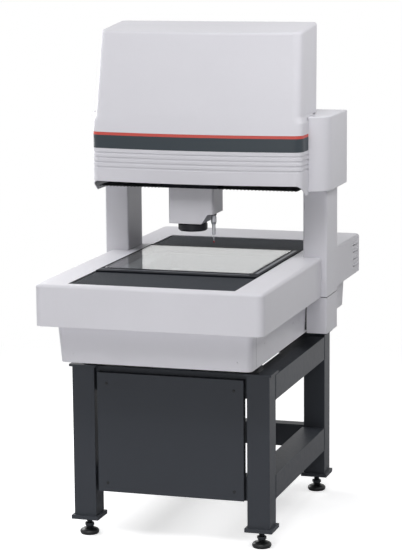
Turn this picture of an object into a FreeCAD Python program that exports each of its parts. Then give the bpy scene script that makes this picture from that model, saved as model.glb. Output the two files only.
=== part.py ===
import FreeCAD, Part
import math
import os

import Sketcher

# Vision measuring machine: a granite table with a fixed bridge on a steel stand.
# X runs to the right, Y to the rear and Z up. The origin is on the floor, under
# the middle of the machine's footprint. All lengths are millimetres.

doc = FreeCAD.newDocument("vision_measuring_machine")

# Driving dimensions

DIMENSIONS = {
    # heights, stacked from the floor
    "foot_height": 61,
    "stand_height": 557,
    "mount_height": 40,
    "skirt_height": 135,
    "cover_height": 143,
    "portal_height": 285,
    "head_lower_height": 239,
    "head_upper_height": 316,
    # table
    "overall_depth": 1407,
    "table_width": 800,
    "sheet_wall": 3,
    "table_corner_radius": 26,
    "table_edge_radius": 11,
    "window_width": 586,
    "window_front_rim": 40,
    "window_length": 1140,
    "window_corner_radius": 6,
    "vent_count": 4,
    "vent_pitch": 27,
    "vent_height": 11,
    "vent_length": 86,
    "vent_rear_gap": 40,
    "vent_drop": 22,
    "panel_gap": 1,
    "cover_flange_overlap": 10,
    # skirt under the table
    "skirt_top_width": 690,
    "skirt_taper": 7,
    "skirt_front_inset": 60,
    "skirt_front_taper": 15,
    "skirt_rear_inset": 22,
    "skirt_corner_radius": 22,
    "skirt_seam_setback": 30,
    # stand
    "stand_width": 712,
    "stand_front_inset": 235,
    "stand_depth": 856,
    "leg_size": 80,
    "tube_wall": 5,
    "plate_margin": 9,
    "leg_flange_thick": 8,
    "base_plate_thick": 14,
    "rail_height": 86,
    "rail_width": 50,
    "lower_rail_height": 103,
    "side_rail_drop": 18,
    "cross_rail_setback": 25,
    "panel_side_gap": 12,
    "panel_top_gap": 25,
    "panel_bottom_height": 107,
    "panel_depth": 26,
    "panel_wall": 2,
    # levelling feet
    "foot_pad_diameter": 68,
    "foot_pad_height": 27,
    "foot_pad_rim": 9,
    "foot_pad_neck_wall": 6,
    "foot_pad_neck_height": 7,
    "stud_diameter": 20,
    "stud_pin_diameter": 12,
    "stud_pin_depth": 12,
    "stud_length": 74,
    "stud_nut_width": 30,
    "stud_nut_height": 13,
    "running_clearance": 0.08,
    "seat_gap": 0.3,
    "small_chamfer": 2,
    # mounts between the stand and the base
    "mount_size": 70,
    "front_mount_width": 134,
    "front_mount_depth": 46,
    "base_lift": 10,
    # granite
    "base_side_gap": 20,
    "base_front_gap": 29,
    "base_rear_gap": 42,
    "granite_chamfer": 5,
    "column_front": 76.5,
    "column_depth": 162,
    "column_outer_width": 842,
    "column_cover_width": 89,
    "column_wrap": 8,
    "column_corner_radius": 7,
    "column_seam_gap": 3,
    "cover_rest_margin": 20,
    "beam_height": 225,
    "beam_lift": 25,
    "beam_front_setback": 18,
    # bridge covers
    "end_cover_overhang_left": 15,
    "end_cover_overhang_right": 33,
    "end_cover_front": -63,
    "end_cover_rear_margin": 10,
    "end_cover_radius": 84,
    "end_cover_edge_radius": 5,
    "end_cover_height": 265,
    "end_cover_top_gap": 5,
    "rear_cover_wall": 2,
    # head cover
    "head_width": 774,
    "head_front": -153,
    "head_bow": 34,
    "head_corner_radius": 34,
    "head_under_step_front": -147,
    "head_step_front": -144,
    "head_step_in": 8,
    "head_step_rise": 22,
    "head_back": 84,
    "head_top_back": 128,
    "head_top_drop": 23,
    "head_top_width": 740,
    "head_top_front": -96,
    "head_top_bow": 22,
    "head_top_radius": 12,
    "wing_drop": 38,
    "wing_slope_length": 54,
    "wing_rear": 34,
    "band_top_drop": 63,
    "band_height": 58,
    "band_recess": 1.5,
    "rib_count": 4,
    "rib_pitch": 17,
    "rib_groove_height": 7,
    "rib_groove_depth": 2,
    "rib_top_drop": 134,
    # work axes
    "work_centre_y": -70,
    "optical_axis_x": -36,
    # stage
    "stage_centre_y": -88,
    "stage_width": 580,
    "stage_length": 620,
    "stage_proud": 3,
    "stage_frame_height": 34,
    "stage_corner_radius": 6,
    "glass_width": 540,
    "glass_length": 526,
    "glass_thick": 10,
    "glass_shift_x": -13,
    "glass_shift_y": 20,
    "glass_gap": 1,
    "glass_ledge": 10,
    "stage_table_height": 55,
    "stage_table_window_margin": 48,
    "stage_table_side_margin": 85,
    "glass_chamfer": 1,
    "fixture_hole_diameter": 5,
    "fixture_hole_depth": 15,
    "fixture_hole_spacing": 480,
    "fixture_hole_inset": 30,
    "bellows_drop": 6,
    "bellows_height": 24,
    "bellows_side_gap": 6,
    "bellows_overlap_front": 22,
    "bellows_overlap_rear": 50,
    "bellows_pleats": 14,
    "bellows_pleat_depth": 6,
    # linear guides and screws
    "rail_size": 23,
    "rail_body_height": 23,
    "rail_waist": 3,
    "y_rail_screw_gap": 65,
    "y_rail_end_gap": 24.5,
    "guide_block_width": 60,
    "guide_block_length": 90,
    "guide_block_gap": 7,
    "guide_clearance": 0.5,
    "stage_block_spacing": 430,
    "y_screw_flange_gap": 3,
    "y_screw_rise": 30,
    "y_screw_diameter": 20,
    "y_screw_end_gap": 15,
    "nut_size": 40,
    "nut_length": 60,
    "bearing_block_thick": 24,
    "bearing_block_size": 44,
    "screw_journal": 10,
    "motor_size": 42,
    "motor_length": 78,
    "motor_cap_length": 22,
    "motor_flange_thick": 8,
    "motor_housing_inset": 2,
    "motor_housing_chamfer": 6,
    "scale_width": 10,
    "scale_thick": 4,
    "light_width": 380,
    "light_depth": 70,
    "light_height": 45,
    "light_slot_width": 340,
    "light_slot_depth": 30,
    "light_slot_drop": 4,
    # carriage on the bridge
    "x_rail_low_rise": 35,
    "x_rail_high_rise": 185,
    "x_rail_length": 800,
    "x_rail_body_height": 18,
    "x_screw_rise": 110,
    "x_screw_diameter": 16,
    "x_screw_centre_x": -15,
    "x_screw_length": 630,
    "carriage_centre_x": -28,
    "carriage_width": 164,
    "carriage_plate_thick": 20,
    "carriage_block_roof": 21,
    "carriage_block_spacing": 110,
    "carriage_block_length": 50,
    "carriage_block_width": 44,
    "carriage_top": 1650,
    "shelf_thick": 16,
    "shelf_depth": 26,
    "shelf_width": 75,
    "z_rail_spacing": 110,
    "z_rail_size": 15,
    "z_rail_body_height": 15,
    "z_rail_end_gap": 6,
    "z_screw_diameter": 12,
    "apron_width": 211,
    "apron_front": -143,
    "apron_height": 20,
    "apron_drop": 19,
    "apron_gap": 2,
    "x_bellows_pleats": 12,
    "x_bellows_end_gap": 16,
    # measuring head
    "housing_width": 167,
    "housing_centre_x": -27.5,
    "housing_front": -123.5,
    "housing_back": -4,
    "housing_bottom": 1072,
    "housing_top": 1420,
    "housing_step_width": 21,
    "housing_step_rise": 35,
    "housing_slant": 23,
    "housing_corner_radius": 11,
    "housing_wall": 3,
    "z_slide_thick": 12,
    "z_slide_margin": 8,
    "z_slide_top": 1440,
    "z_block_low": 1310,
    "z_block_high": 1400,
    "z_block_length": 44,
    "z_block_width": 34,
    "z_nut_height": 1355,
    "z_nut_length": 34,
    "z_nut_width": 34,
    "z_block_gap": 3,
    "camera_size": 50,
    "camera_length": 60,
    "camera_base": 1345,
    "lens_clamp_level": 1190,
    "lens_clamp_height": 30,
    "lens_clamp_width": 64,
    "lens_diameter": 44,
    "objective_diameter": 48,
    "objective_tip_drop": 20,
    "objective_length": 46,
    "lens_neck_depth": 5,
    "lens_rim": 6,
    "lens_glass_depth": 3,
    "lens_taper": 4,
    "lens_adapter_length": 52,
    "ring_outer_diameter": 105,
    "ring_inner_diameter": 62,
    "ring_height": 25,
    "ring_spacer": 4,
    "ring_hub_overlap": 14,
    "ring_edge_cut": 5,
    "ring_groove_depth": 3.5,
    "ring_tab_width": 26,
    "ring_tab_rise": 12,
    "lens_hole_diameter": 56,
    "probe_x": 46,
    "probe_y": -84,
    "probe_collar_diameter": 21,
    "probe_collar_height": 6,
    "probe_neck_diameter": 15,
    "probe_body_diameter": 20,
    "probe_body_length": 32,
    "probe_module_diameter": 12.5,
    "probe_taper": 8,
    "probe_rim_cut": 0.6,
    "probe_module_length": 38,
    "stylus_cavity_diameter": 9.6,
    "stylus_cavity_depth": 8,
    "gimbal_drop": 3.5,
    "gimbal_outer_diameter": 8.4,
    "gimbal_inner_diameter": 6.2,
    "gimbal_height": 2,
    "gimbal_pin_diameter": 1.2,
    "gimbal_pin_reach": 5.6,
    "stylus_hub_diameter": 5,
    "stylus_pin_reach": 3.9,
    "stylus_diameter": 3,
    "stylus_length": 30,
    "stylus_neck_length": 8,
    "stylus_ball_diameter": 5,
}

sheet = doc.addObject("Spreadsheet::Sheet", "Sizes")
for row, (alias, number) in enumerate(DIMENSIONS.items(), 1):
    sheet.set(f"A{row}", alias)
    sheet.set(f"B{row}", str(number))
    sheet.setAlias(f"B{row}", alias)
doc.recompute()


class Size:
    """A length that keeps its formula in terms of the sheet's cells beside its value."""

    def __init__(self, text, number):
        self.text = text
        self.number = number

    def __add__(self, other):
        other = lift(other)
        return Size(f"({self.text} + {other.text})", self.number + other.number)

    def __sub__(self, other):
        other = lift(other)
        return Size(f"({self.text} - {other.text})", self.number - other.number)

    def __mul__(self, other):
        other = lift(other)
        return Size(f"({self.text} * {other.text})", self.number * other.number)

    def __truediv__(self, other):
        other = lift(other)
        return Size(f"({self.text} / {other.text})", self.number / other.number)

    def __neg__(self):
        return Size(f"(0 - {self.text})", -self.number)

    def __radd__(self, other):
        return lift(other) + self

    def __rsub__(self, other):
        return lift(other) - self

    def __rmul__(self, other):
        return lift(other) * self


def lift(value):
    return value if isinstance(value, Size) else Size(f"({value})", float(value))


def size(alias):
    return Size(f"Sizes.{alias}", float(sheet.get(alias)))


# Sketches, pads and pockets

PLANES = {"XY": "XY_Plane", "XZ": "XZ_Plane", "YZ": "YZ_Plane"}
START, END, CENTRE = range(1, 4)
ORIGIN, UPRIGHT_AXIS = range(-1, -3, -1)


def new_body(label):
    body = doc.addObject("PartDesign::Body", label)
    body.Label = label
    body.AllowCompound = True
    return body


def origin_feature(body, role):
    for feature in body.Origin.OriginFeatures:
        if feature.Role == role:
            return feature
    raise ValueError(role)


def new_sketch(body, plane, offset=0):
    """A sketch on one of the body's planes, offset along that plane's normal.

    XY: x is X, y is Y, normal +Z. XZ: x is X, y is Z, normal -Y. YZ: x is Y, y is Z, normal +X.
    """
    sketch = body.newObject("Sketcher::SketchObject", f"{body.Label}_sketch")
    sketch.AttachmentSupport = [(origin_feature(body, PLANES[plane]), "")]
    sketch.MapMode = "FlatFace"
    sketch.setExpression("AttachmentOffset.Base.z", lift(offset).text)
    return sketch


def drive(sketch, kind, *where, to):
    """A dimension of the sketch that follows a formula."""
    index = sketch.addConstraint(Sketcher.Constraint(kind, *where, to.number))
    sketch.setExpression(f"Constraints[{index}]", to.text)


def place_point(sketch, geometry, end, x, y):
    """Holds one point of a sketch at x, y."""
    for kind, axis_kind, coordinate in (("DistanceX", UPRIGHT_AXIS, x), ("DistanceY", ORIGIN, y)):
        coordinate = lift(coordinate)
        if coordinate.number == 0 and coordinate.text == "(0)":
            sketch.addConstraint(Sketcher.Constraint("PointOnObject", geometry, end, axis_kind))
        else:
            drive(sketch, kind, ORIGIN, START, geometry, end, to=coordinate)


def polygon(sketch, points):
    """A closed outline of straight runs through the given points."""
    points = [(lift(x), lift(y)) for x, y in points]
    first = sketch.GeometryCount
    count = len(points)
    for k, (x, y) in enumerate(points):
        nx, ny = points[(k + 1) % count]
        here = FreeCAD.Vector(x.number, y.number, 0)
        there = FreeCAD.Vector(nx.number, ny.number, 0)
        sketch.addGeometry(Part.LineSegment(here, there), False)
    for k in range(count):
        after = first + (k + 1) % count
        sketch.addConstraint(Sketcher.Constraint("Coincident", first + k, END, after, START))
    for k, (x, y) in enumerate(points):
        place_point(sketch, first + k, START, x, y)


def rectangle(sketch, x0, x1, y0, y1):
    polygon(sketch, [(x0, y0), (x1, y0), (x1, y1), (x0, y1)])


def at(x, y):
    return FreeCAD.Vector(x, y, 0)


def arc(x, y, radius, start, end):
    ring = Part.Circle(at(x, y), FreeCAD.Vector(0, 0, 1), radius)
    return Part.ArcOfCircle(ring, start, end)


def rounded_rectangle(sketch, x0, x1, y0, y1, radius):
    """A rectangle whose four corners are arcs."""
    x0, x1, y0, y1, radius = (lift(value) for value in (x0, x1, y0, y1, radius))
    r = radius.number
    left, right, front, rear = x0.number, x1.number, y0.number, y1.number
    first = sketch.GeometryCount
    quarter = math.pi / 2
    sketch.addGeometry([
        Part.LineSegment(at(left + r, front), at(right - r, front)),
        arc(right - r, front + r, r, 3 * quarter, 4 * quarter),
        Part.LineSegment(at(right, front + r), at(right, rear - r)),
        arc(right - r, rear - r, r, 0, quarter),
        Part.LineSegment(at(right - r, rear), at(left + r, rear)),
        arc(left + r, rear - r, r, quarter, 2 * quarter),
        Part.LineSegment(at(left, rear - r), at(left, front + r)),
        arc(left + r, front + r, r, 2 * quarter, 3 * quarter),
    ], False)
    for k in range(8):
        after = first + (k + 1) % 8
        sketch.addConstraint(Sketcher.Constraint("Tangent", first + k, END, after, START))
    for k, kind in enumerate(("Horizontal", "Vertical") * 2):
        sketch.addConstraint(Sketcher.Constraint(kind, first + 2 * k))
        drive(sketch, "Radius", first + 2 * k + 1, to=radius)
    drive(sketch, "DistanceY", ORIGIN, START, first, START, to=y0)
    drive(sketch, "DistanceX", ORIGIN, START, first + 2, START, to=x1)
    drive(sketch, "DistanceY", ORIGIN, START, first + 4, START, to=y1)
    drive(sketch, "DistanceX", ORIGIN, START, first + 6, START, to=x0)


def circle(sketch, x, y, diameter):
    x, y, diameter = lift(x), lift(y), lift(diameter)
    middle = FreeCAD.Vector(x.number, y.number, 0)
    ring = Part.Circle(middle, FreeCAD.Vector(0, 0, 1), diameter.number / 2)
    index = sketch.addGeometry(ring, False)
    place_point(sketch, index, CENTRE, x, y)
    drive(sketch, "Diameter", index, to=diameter)


def finish_pad(feature, sketch, length):
    feature.Profile = sketch
    if length is None:
        feature.Type = "ThroughAll"
    else:
        feature.setExpression("Length", lift(length).text)
    sketch.Visibility = False
    return feature


def pad(body, sketch, length, reverse=False):
    feature = body.newObject("PartDesign::Pad", f"{body.Label}_pad")
    feature.Reversed = reverse
    return finish_pad(feature, sketch, length)


def pocket(body, sketch, length=None, reverse=False, both=False):
    """Cuts away from the sketch, against its normal unless reversed."""
    feature = body.newObject("PartDesign::Pocket", f"{body.Label}_pocket")
    feature.Reversed = reverse
    finish_pad(feature, sketch, length)
    if both:
        feature.Midplane = True
    return feature


def revolve(body, points, x=0, y=0):
    """A turned solid about the upright line through x, y, from a list of (radius, height)."""
    sketch = new_sketch(body, "XZ")
    polygon(sketch, points)
    feature = body.newObject("PartDesign::Revolution", f"{body.Label}_turn")
    feature.Profile = sketch
    feature.ReferenceAxis = (sketch, ["V_Axis"])
    feature.Angle = 360
    body.setExpression("Placement.Base.x", lift(x).text)
    body.setExpression("Placement.Base.y", lift(y).text)
    return feature


def loft(body, low, high, cut=False):
    kind = "PartDesign::SubtractiveLoft" if cut else "PartDesign::AdditiveLoft"
    feature = body.newObject(kind, f"{body.Label}_loft")
    feature.Profile = low
    feature.Sections = [high]
    feature.Ruled = True
    return feature


def is_along(edge, axis):
    """Whether a straight edge runs within a few degrees of an axis."""
    if not isinstance(edge.Curve, Part.Line):
        return False
    run = edge.Vertexes[-1].Point - edge.Vertexes[0].Point
    return abs(run.normalize().dot(axis)) > 0.98


def round_edges(body, radius, chosen, chamfer=False):
    """Rounds or chamfers the tip's edges that the test accepts."""
    doc.recompute()
    base = body.Tip
    names = [f"Edge{k}" for k, edge in enumerate(base.Shape.Edges, 1) if chosen(edge, base.Shape.BoundBox)]
    kind = "PartDesign::Chamfer" if chamfer else "PartDesign::Fillet"
    feature = body.newObject(kind, f"{body.Label}_{'chamfer' if chamfer else 'fillet'}")
    feature.Base = (base, names)
    feature.setExpression("Size" if chamfer else "Radius", lift(radius).text)
    return feature


def upright(edge, box):
    return is_along(edge, FreeCAD.Vector(0, 0, 1))


def near(first, second):
    return abs(first - second) < 0.01


def upright_at(half):
    """Chooses the upright edges that lie half away from the middle plane."""
    return lambda edge, box: upright(edge, box) and near(abs(edge.Vertexes[0].X), half.number)


def top_rim(edge, box):
    return near(edge.BoundBox.ZMin, box.ZMax)


def bottom_rim(edge, box):
    return near(edge.BoundBox.ZMax, box.ZMin)


def runs_in_x(edge, box):
    return is_along(edge, FreeCAD.Vector(1, 0, 0))


def cut_of(label, base, tool):
    feature = doc.addObject("Part::Cut", label)
    feature.Label = label
    feature.Base = base
    feature.Tool = tool
    return feature


def group_of(label, members):
    """One node that holds several separate pieces."""
    feature = doc.addObject("Part::Compound", label)
    feature.Label = label
    feature.Links = members
    return feature


nodes = []


def node(feature):
    nodes.append(feature)
    return feature


SIDES = (("left", -1), ("right", 1))
WALL = size("sheet_wall")
GAP = size("seat_gap")
RUN = size("running_clearance")

# Levels and planes that several pieces share

stand_bottom = size("foot_height")
stand_top = stand_bottom + size("stand_height")
skirt_bottom = stand_top + size("mount_height")
seam = skirt_bottom + size("skirt_height")
table_top = seam + size("cover_height")
head_bottom = table_top + size("portal_height")
head_step = head_bottom + size("head_lower_height")
head_top = head_step + size("head_upper_height")
wing_bottom = head_bottom - size("wing_drop")

table_front = -size("overall_depth") / 2
table_rear = size("overall_depth") / 2
table_half = size("table_width") / 2
window_half = size("window_width") / 2
window_front = table_front + size("window_front_rim")
window_rear = window_front + size("window_length")

stand_half = size("stand_width") / 2
stand_front = table_front + size("stand_front_inset")
stand_rear = stand_front + size("stand_depth")
leg = size("leg_size")
leg_centre_x = stand_half - leg / 2
leg_centres_y = (stand_front + leg / 2, stand_rear - leg / 2)

column_front = size("column_front")
column_rear = column_front + size("column_depth")
column_outer = size("column_outer_width") / 2
column_inner = column_outer - size("column_cover_width")
granite_outer = column_outer - size("column_wrap")
granite_inner = column_inner + size("column_wrap")
granite_front = column_front + size("column_wrap")
granite_rear = column_rear - size("column_wrap")

skirt_half_top = size("skirt_top_width") / 2
skirt_half_bottom = skirt_half_top - size("skirt_taper")
skirt_front_top = table_front + size("skirt_front_inset")
skirt_front_bottom = skirt_front_top + size("skirt_front_taper")
skirt_rear = table_rear - size("skirt_rear_inset")
skirt_seam_y = skirt_front_bottom + size("skirt_seam_setback")

base_bottom = skirt_bottom + size("base_lift")
base_half = skirt_half_top - size("base_side_gap")
base_front = skirt_front_bottom + size("base_front_gap")
base_rear = skirt_rear - size("base_rear_gap")

end_cover_outer = {
    -1: column_outer + size("end_cover_overhang_left"),
    1: column_outer + size("end_cover_overhang_right"),
}
end_cover_top = head_step - size("end_cover_top_gap")
end_cover_bottom = end_cover_top - size("end_cover_height")
end_cover_rear = column_rear + size("end_cover_rear_margin")
head_half = size("head_width") / 2
head_back = size("head_back")
wing_rear = size("wing_rear")
step_bottom = head_step - size("head_step_rise")
head_top_back = size("head_top_back")
head_crown_inset = WALL + size("head_top_radius") / 2



def crown(y):
    """The level of the head cover's slanted top at y."""
    depth = head_top_back - size("head_top_front")
    return head_top - size("head_top_drop") * ((head_top_back - y) / depth)


beam_bottom = end_cover_bottom + size("beam_lift")
beam_top = beam_bottom + size("beam_height")
beam_front = column_front + size("beam_front_setback")

stage_top = table_top + size("stage_proud")
stage_frame_bottom = stage_top - size("stage_frame_height")
stage_table_bottom = stage_frame_bottom - size("stage_table_height")
work_y = size("work_centre_y")
y_rail_front = base_front + size("y_rail_end_gap")
y_rail_length = 2 * (work_y - y_rail_front)
y_screw_front = y_rail_front + size("y_screw_end_gap")
y_screw_length = 2 * (work_y - y_screw_front)
y_screw_clear = size("cover_flange_overlap") + size("y_screw_flange_gap")
y_screw_x = base_half - y_screw_clear - size("bearing_block_size") / 2
y_rail_x = y_screw_x - size("y_rail_screw_gap")
y_screw_rear = y_screw_front + y_screw_length
stage_half = size("stage_width") / 2
stage_y = size("stage_centre_y")
stage_front = stage_y - size("stage_length") / 2
stage_rear = stage_y + size("stage_length") / 2
bellows_top = table_top - size("bellows_drop")
bellows_bottom = bellows_top - size("bellows_height")


def four_corners(half_x, ys):
    return [(side * half_x, y) for side in (-1, 1) for y in ys]


# Stand


def make_stand_legs():
    body = new_body("stand_legs")
    plate_half = leg / 2 + size("plate_margin")
    inner_half = leg / 2 - size("tube_wall")
    plates = new_sketch(body, "XY", stand_bottom)
    tubes = new_sketch(body, "XY", stand_bottom + size("base_plate_thick"))
    flanges = new_sketch(body, "XY", stand_top - size("leg_flange_thick"))
    for x, y in four_corners(leg_centre_x, leg_centres_y):
        rectangle(plates, x - plate_half, x + plate_half, y - plate_half, y + plate_half)
        circle(plates, x, y, size("stud_diameter") + 2 * RUN)
        rectangle(tubes, x - leg / 2, x + leg / 2, y - leg / 2, y + leg / 2)
        rectangle(tubes, x - inner_half, x + inner_half, y - inner_half, y + inner_half)
        rectangle(flanges, x - plate_half, x + plate_half, y - plate_half, y + plate_half)
    pad(body, plates, size("base_plate_thick"))
    pad(body, tubes, size("stand_height") - size("base_plate_thick") - size("leg_flange_thick"))
    pad(body, flanges, size("leg_flange_thick"))
    return node(body)


def tube_section(sketch, x0, x1, y0, y1):
    wall = size("tube_wall")
    rectangle(sketch, x0, x1, y0, y1)
    rectangle(sketch, x0 + wall, x1 - wall, y0 + wall, y1 - wall)


rail_top = stand_top - size("side_rail_drop")
RAIL_LEVELS = (rail_top - size("rail_height"), stand_bottom + size("lower_rail_height"))
cross_rail_top = stand_top - size("leg_flange_thick")
CROSS_RAIL_LEVELS = (cross_rail_top - size("rail_height"), RAIL_LEVELS[1])


def make_stand_side_rails():
    body = new_body("stand_side_rails")
    ends = new_sketch(body, "XZ", -(stand_front + leg))
    inner = stand_half - size("rail_width")
    for low in RAIL_LEVELS:
        high = low + size("rail_height")
        tube_section(ends, -stand_half, -inner, low, high)
        tube_section(ends, inner, stand_half, low, high)
    pad(body, ends, size("stand_depth") - 2 * leg, reverse=True)
    return node(body)


def make_stand_cross_rails():
    body = new_body("stand_cross_rails")
    inner = stand_half - leg
    ends = new_sketch(body, "YZ", -inner)
    front = stand_front + size("cross_rail_setback")
    width = size("rail_width")
    for low in CROSS_RAIL_LEVELS:
        high = low + size("rail_height")
        tube_section(ends, front, front + width, low, high)
        tube_section(ends, stand_rear - width, stand_rear, low, high)
    pad(body, ends, 2 * inner)
    return node(body)


def make_stand_front_panel():
    body = new_body("stand_front_panel")
    half = stand_half - leg - size("panel_side_gap")
    low = stand_bottom + size("panel_bottom_height")
    high = stand_top - size("panel_top_gap")
    back = stand_front + size("cross_rail_setback")
    wall = size("panel_wall")
    face = new_sketch(body, "XZ", -back)
    rectangle(face, -half, half, low, high)
    pad(body, face, size("panel_depth"))
    hollow = new_sketch(body, "XZ", -back)
    rectangle(hollow, -half + wall, half - wall, low + wall, high - wall)
    pocket(body, hollow, size("panel_depth") - wall, reverse=True)
    return node(body)


def make_isolation_mounts():
    """Four pads on the legs, and a block in the middle of the front cross rail."""
    body = new_body("isolation_mounts")
    outlines = new_sketch(body, "XY", stand_top)
    half = size("mount_size") / 2
    for x, y in four_corners(base_half - half - size("plate_margin"), leg_centres_y):
        rectangle(outlines, x - half, x + half, y - half, y + half)
    pad(body, outlines, base_bottom - stand_top)
    middle = new_sketch(body, "XY", cross_rail_top)
    front = stand_front + size("cross_rail_setback")
    width = size("front_mount_width") / 2
    rectangle(middle, -width, width, front, front + size("front_mount_depth"))
    pad(body, middle, base_bottom - cross_rail_top)
    return node(body)


# Levelling feet


def make_foot(tag, x, y):
    pad_radius = size("foot_pad_diameter") / 2
    top = size("foot_pad_height")
    pin = size("stud_pin_diameter") / 2
    pin_bottom = top - size("stud_pin_depth")
    neck = pin + size("foot_pad_neck_wall")
    cut = size("small_chamfer")
    foot = new_body(f"foot_pad_{tag}")
    revolve(foot, [
        (0, 0),
        (pad_radius - cut, 0),
        (pad_radius, cut),
        (pad_radius, size("foot_pad_rim")),
        (neck + size("foot_pad_neck_wall"), top - size("foot_pad_neck_height")),
        (neck, top),
        (pin + RUN, top),
        (pin + RUN, pin_bottom - RUN),
        (0, pin_bottom - RUN),
    ], x, y)
    node(foot)
    stud = new_body(f"foot_stud_{tag}")
    thread = size("stud_diameter") / 2
    nut_bottom = top + GAP
    nut_top = nut_bottom + size("stud_nut_height")
    stud_top = nut_bottom + size("stud_length")
    revolve(stud, [
        (0, pin_bottom),
        (pin, pin_bottom),
        (pin, nut_bottom),
        (thread, nut_bottom),
        (thread, stud_top - cut),
        (thread - cut, stud_top),
        (0, stud_top),
    ], x, y)
    hexagon = new_sketch(stud, "XY", nut_bottom)
    across = size("stud_nut_width") / (2 * math.cos(math.pi / 6))
    corners = []
    for k in range(6):
        angle = math.pi / 3 * k
        corners.append((across * round(math.cos(angle), 6), across * round(math.sin(angle), 6)))
    polygon(hexagon, corners)
    pad(stud, hexagon, nut_top - nut_bottom)
    node(stud)


# Granite and bridge structure


def make_granite_base():
    body = new_body("granite_base")
    outline = new_sketch(body, "XY", base_bottom)
    corners = [
        (base_half, base_front),
        (base_half, granite_front),
        (granite_outer, granite_front),
        (granite_outer, granite_rear),
        (base_half, granite_rear),
        (base_half, base_rear),
    ]
    polygon(outline, corners + [(-x, y) for x, y in reversed(corners)])
    pad(body, outline, seam - base_bottom)

    def end_corner(edge, box):
        y = edge.Vertexes[0].Y
        return upright_at(base_half)(edge, box) and (near(y, box.YMin) or near(y, box.YMax))

    round_edges(body, size("granite_chamfer"), end_corner, chamfer=True)
    return node(body)


def make_bridge_columns():
    body = new_body("bridge_columns")
    outline = new_sketch(body, "XY", seam)
    for side in (-1, 1):
        rectangle(outline, side * granite_inner, side * granite_outer, granite_front, granite_rear)
    pad(body, outline, beam_bottom - seam)
    round_edges(body, size("granite_chamfer"), upright, chamfer=True)
    return node(body)


beam_half = end_cover_outer[-1] - WALL - size("column_wrap")


def make_bridge_beam():
    body = new_body("bridge_beam")
    outline = new_sketch(body, "YZ", -beam_half)
    rectangle(outline, beam_front, granite_rear, beam_bottom, beam_top)
    pad(body, outline, 2 * beam_half)
    round_edges(body, size("granite_chamfer"), runs_in_x, chamfer=True)
    return node(body)


# Table covers


def make_table_cover():
    """A tray with its open side down, whose bottom flange lies on the granite base."""
    body = new_body("table_cover")
    bottom = seam + GAP
    height = table_top - bottom
    edge_radius = size("table_edge_radius")
    outline = new_sketch(body, "XY", bottom)
    rectangle(outline, -table_half, table_half, table_front, table_rear)
    pad(body, outline, height)
    round_edges(body, size("table_corner_radius"), upright)
    round_edges(body, edge_radius, top_rim)
    flange_opening(body, bottom)
    hollow(body, bottom + WALL, WALL, height - WALL - edge_radius)
    hollow(body, bottom + WALL, WALL + edge_radius, height - 2 * WALL)
    window = new_sketch(body, "XY", table_top)
    rectangle(window, -window_half, window_half, window_front, window_rear)
    pocket(body, window, 2 * WALL)

    def window_corner(edge, box):
        return upright_at(window_half)(edge, box) and near(edge.BoundBox.ZMax, box.ZMax)

    round_edges(body, size("window_corner_radius"), window_corner)
    notches = new_sketch(body, "XY", table_top)
    gap = size("panel_gap")
    for side in (-1, 1):
        inner, outer = side * (column_inner - gap), side * (table_half + WALL)
        rectangle(notches, inner, outer, column_front - gap, column_rear + gap)
    pocket(body, notches)
    vents = new_sketch(body, "YZ", table_half + WALL)
    vent_rear = table_rear - size("vent_rear_gap")
    vent_top = table_top - size("vent_drop")
    rectangle(vents, vent_rear - size("vent_length"), vent_rear, vent_top - size("vent_height"), vent_top)
    repeat_down(body, pocket(body, vents, 3 * WALL), "vent_count", "vent_pitch")
    return node(body)


def flange_opening(body, bottom):
    """Opens the table cover's floor, leaving a flange that reaches over the granite."""
    overlap = size("cover_flange_overlap")
    opening = new_sketch(body, "XY", bottom)
    half = base_half - overlap
    rectangle(opening, -half, half, base_front + overlap, base_rear - overlap)
    pocket(body, opening, WALL, reverse=True)


def hollow(body, level, inset, height):
    """Cuts the table cover's inside upwards from level, inset from its outer faces."""
    plan = new_sketch(body, "XY", level)
    half = table_half - inset
    corner = size("table_corner_radius") - inset
    rounded_rectangle(plan, -half, half, table_front + inset, table_rear - inset, corner)
    pocket(body, plan, height, reverse=True)


def repeat_down(body, feature, count, pitch):
    """Repeats a cut downwards; count and pitch name the sheet's cells."""
    doc.recompute()
    rows = body.newObject("PartDesign::LinearPattern", f"{body.Label}_rows")
    rows.Originals = [feature]
    rows.Direction = (origin_feature(body, "Z_Axis"), [""])
    rows.Reversed = True
    rows.setExpression("Occurrences", f"Sizes.{count}")
    rows.Mode = "Spacing"
    rows.setExpression("Offset", f"Sizes.{pitch}")
    body.Tip = rows


def skirt_sections(body, inset):
    """The skirt's plan at its bottom and top edge, drawn in by inset."""
    sections = []
    corner = size("skirt_corner_radius") - inset
    for level, half, front in (
        (skirt_bottom, skirt_half_bottom, skirt_front_bottom),
        (seam, skirt_half_top, skirt_front_top),
    ):
        section = new_sketch(body, "XY", level)
        rounded_rectangle(section, -half + inset, half - inset, front + inset, skirt_rear - inset, corner)
        sections.append(section)
    return sections


def make_skirt(label, keep):
    """One skirt panel: the tapered ring with everything outside keep, (x0, x1, y0, y1), cut off."""
    body = new_body(f"{label}_outside")
    loft(body, *skirt_sections(body, lift(0)))
    far = size("overall_depth")
    rest = new_sketch(body, "XY", seam)
    rectangle(rest, -far, far, -far, far)
    rectangle(rest, *keep)
    pocket(body, rest)
    if label in ("skirt_left", "skirt_right"):
        notch = new_sketch(body, "YZ", 0)
        gap = size("panel_gap")
        rectangle(notch, column_front - gap, column_rear + gap, base_bottom - GAP, seam + WALL)
        pocket(body, notch, 2 * table_half, both=True)
    inside = new_body(f"{label}_inside")
    loft(inside, *skirt_sections(inside, WALL))
    return node(cut_of(label, body, inside))


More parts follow.
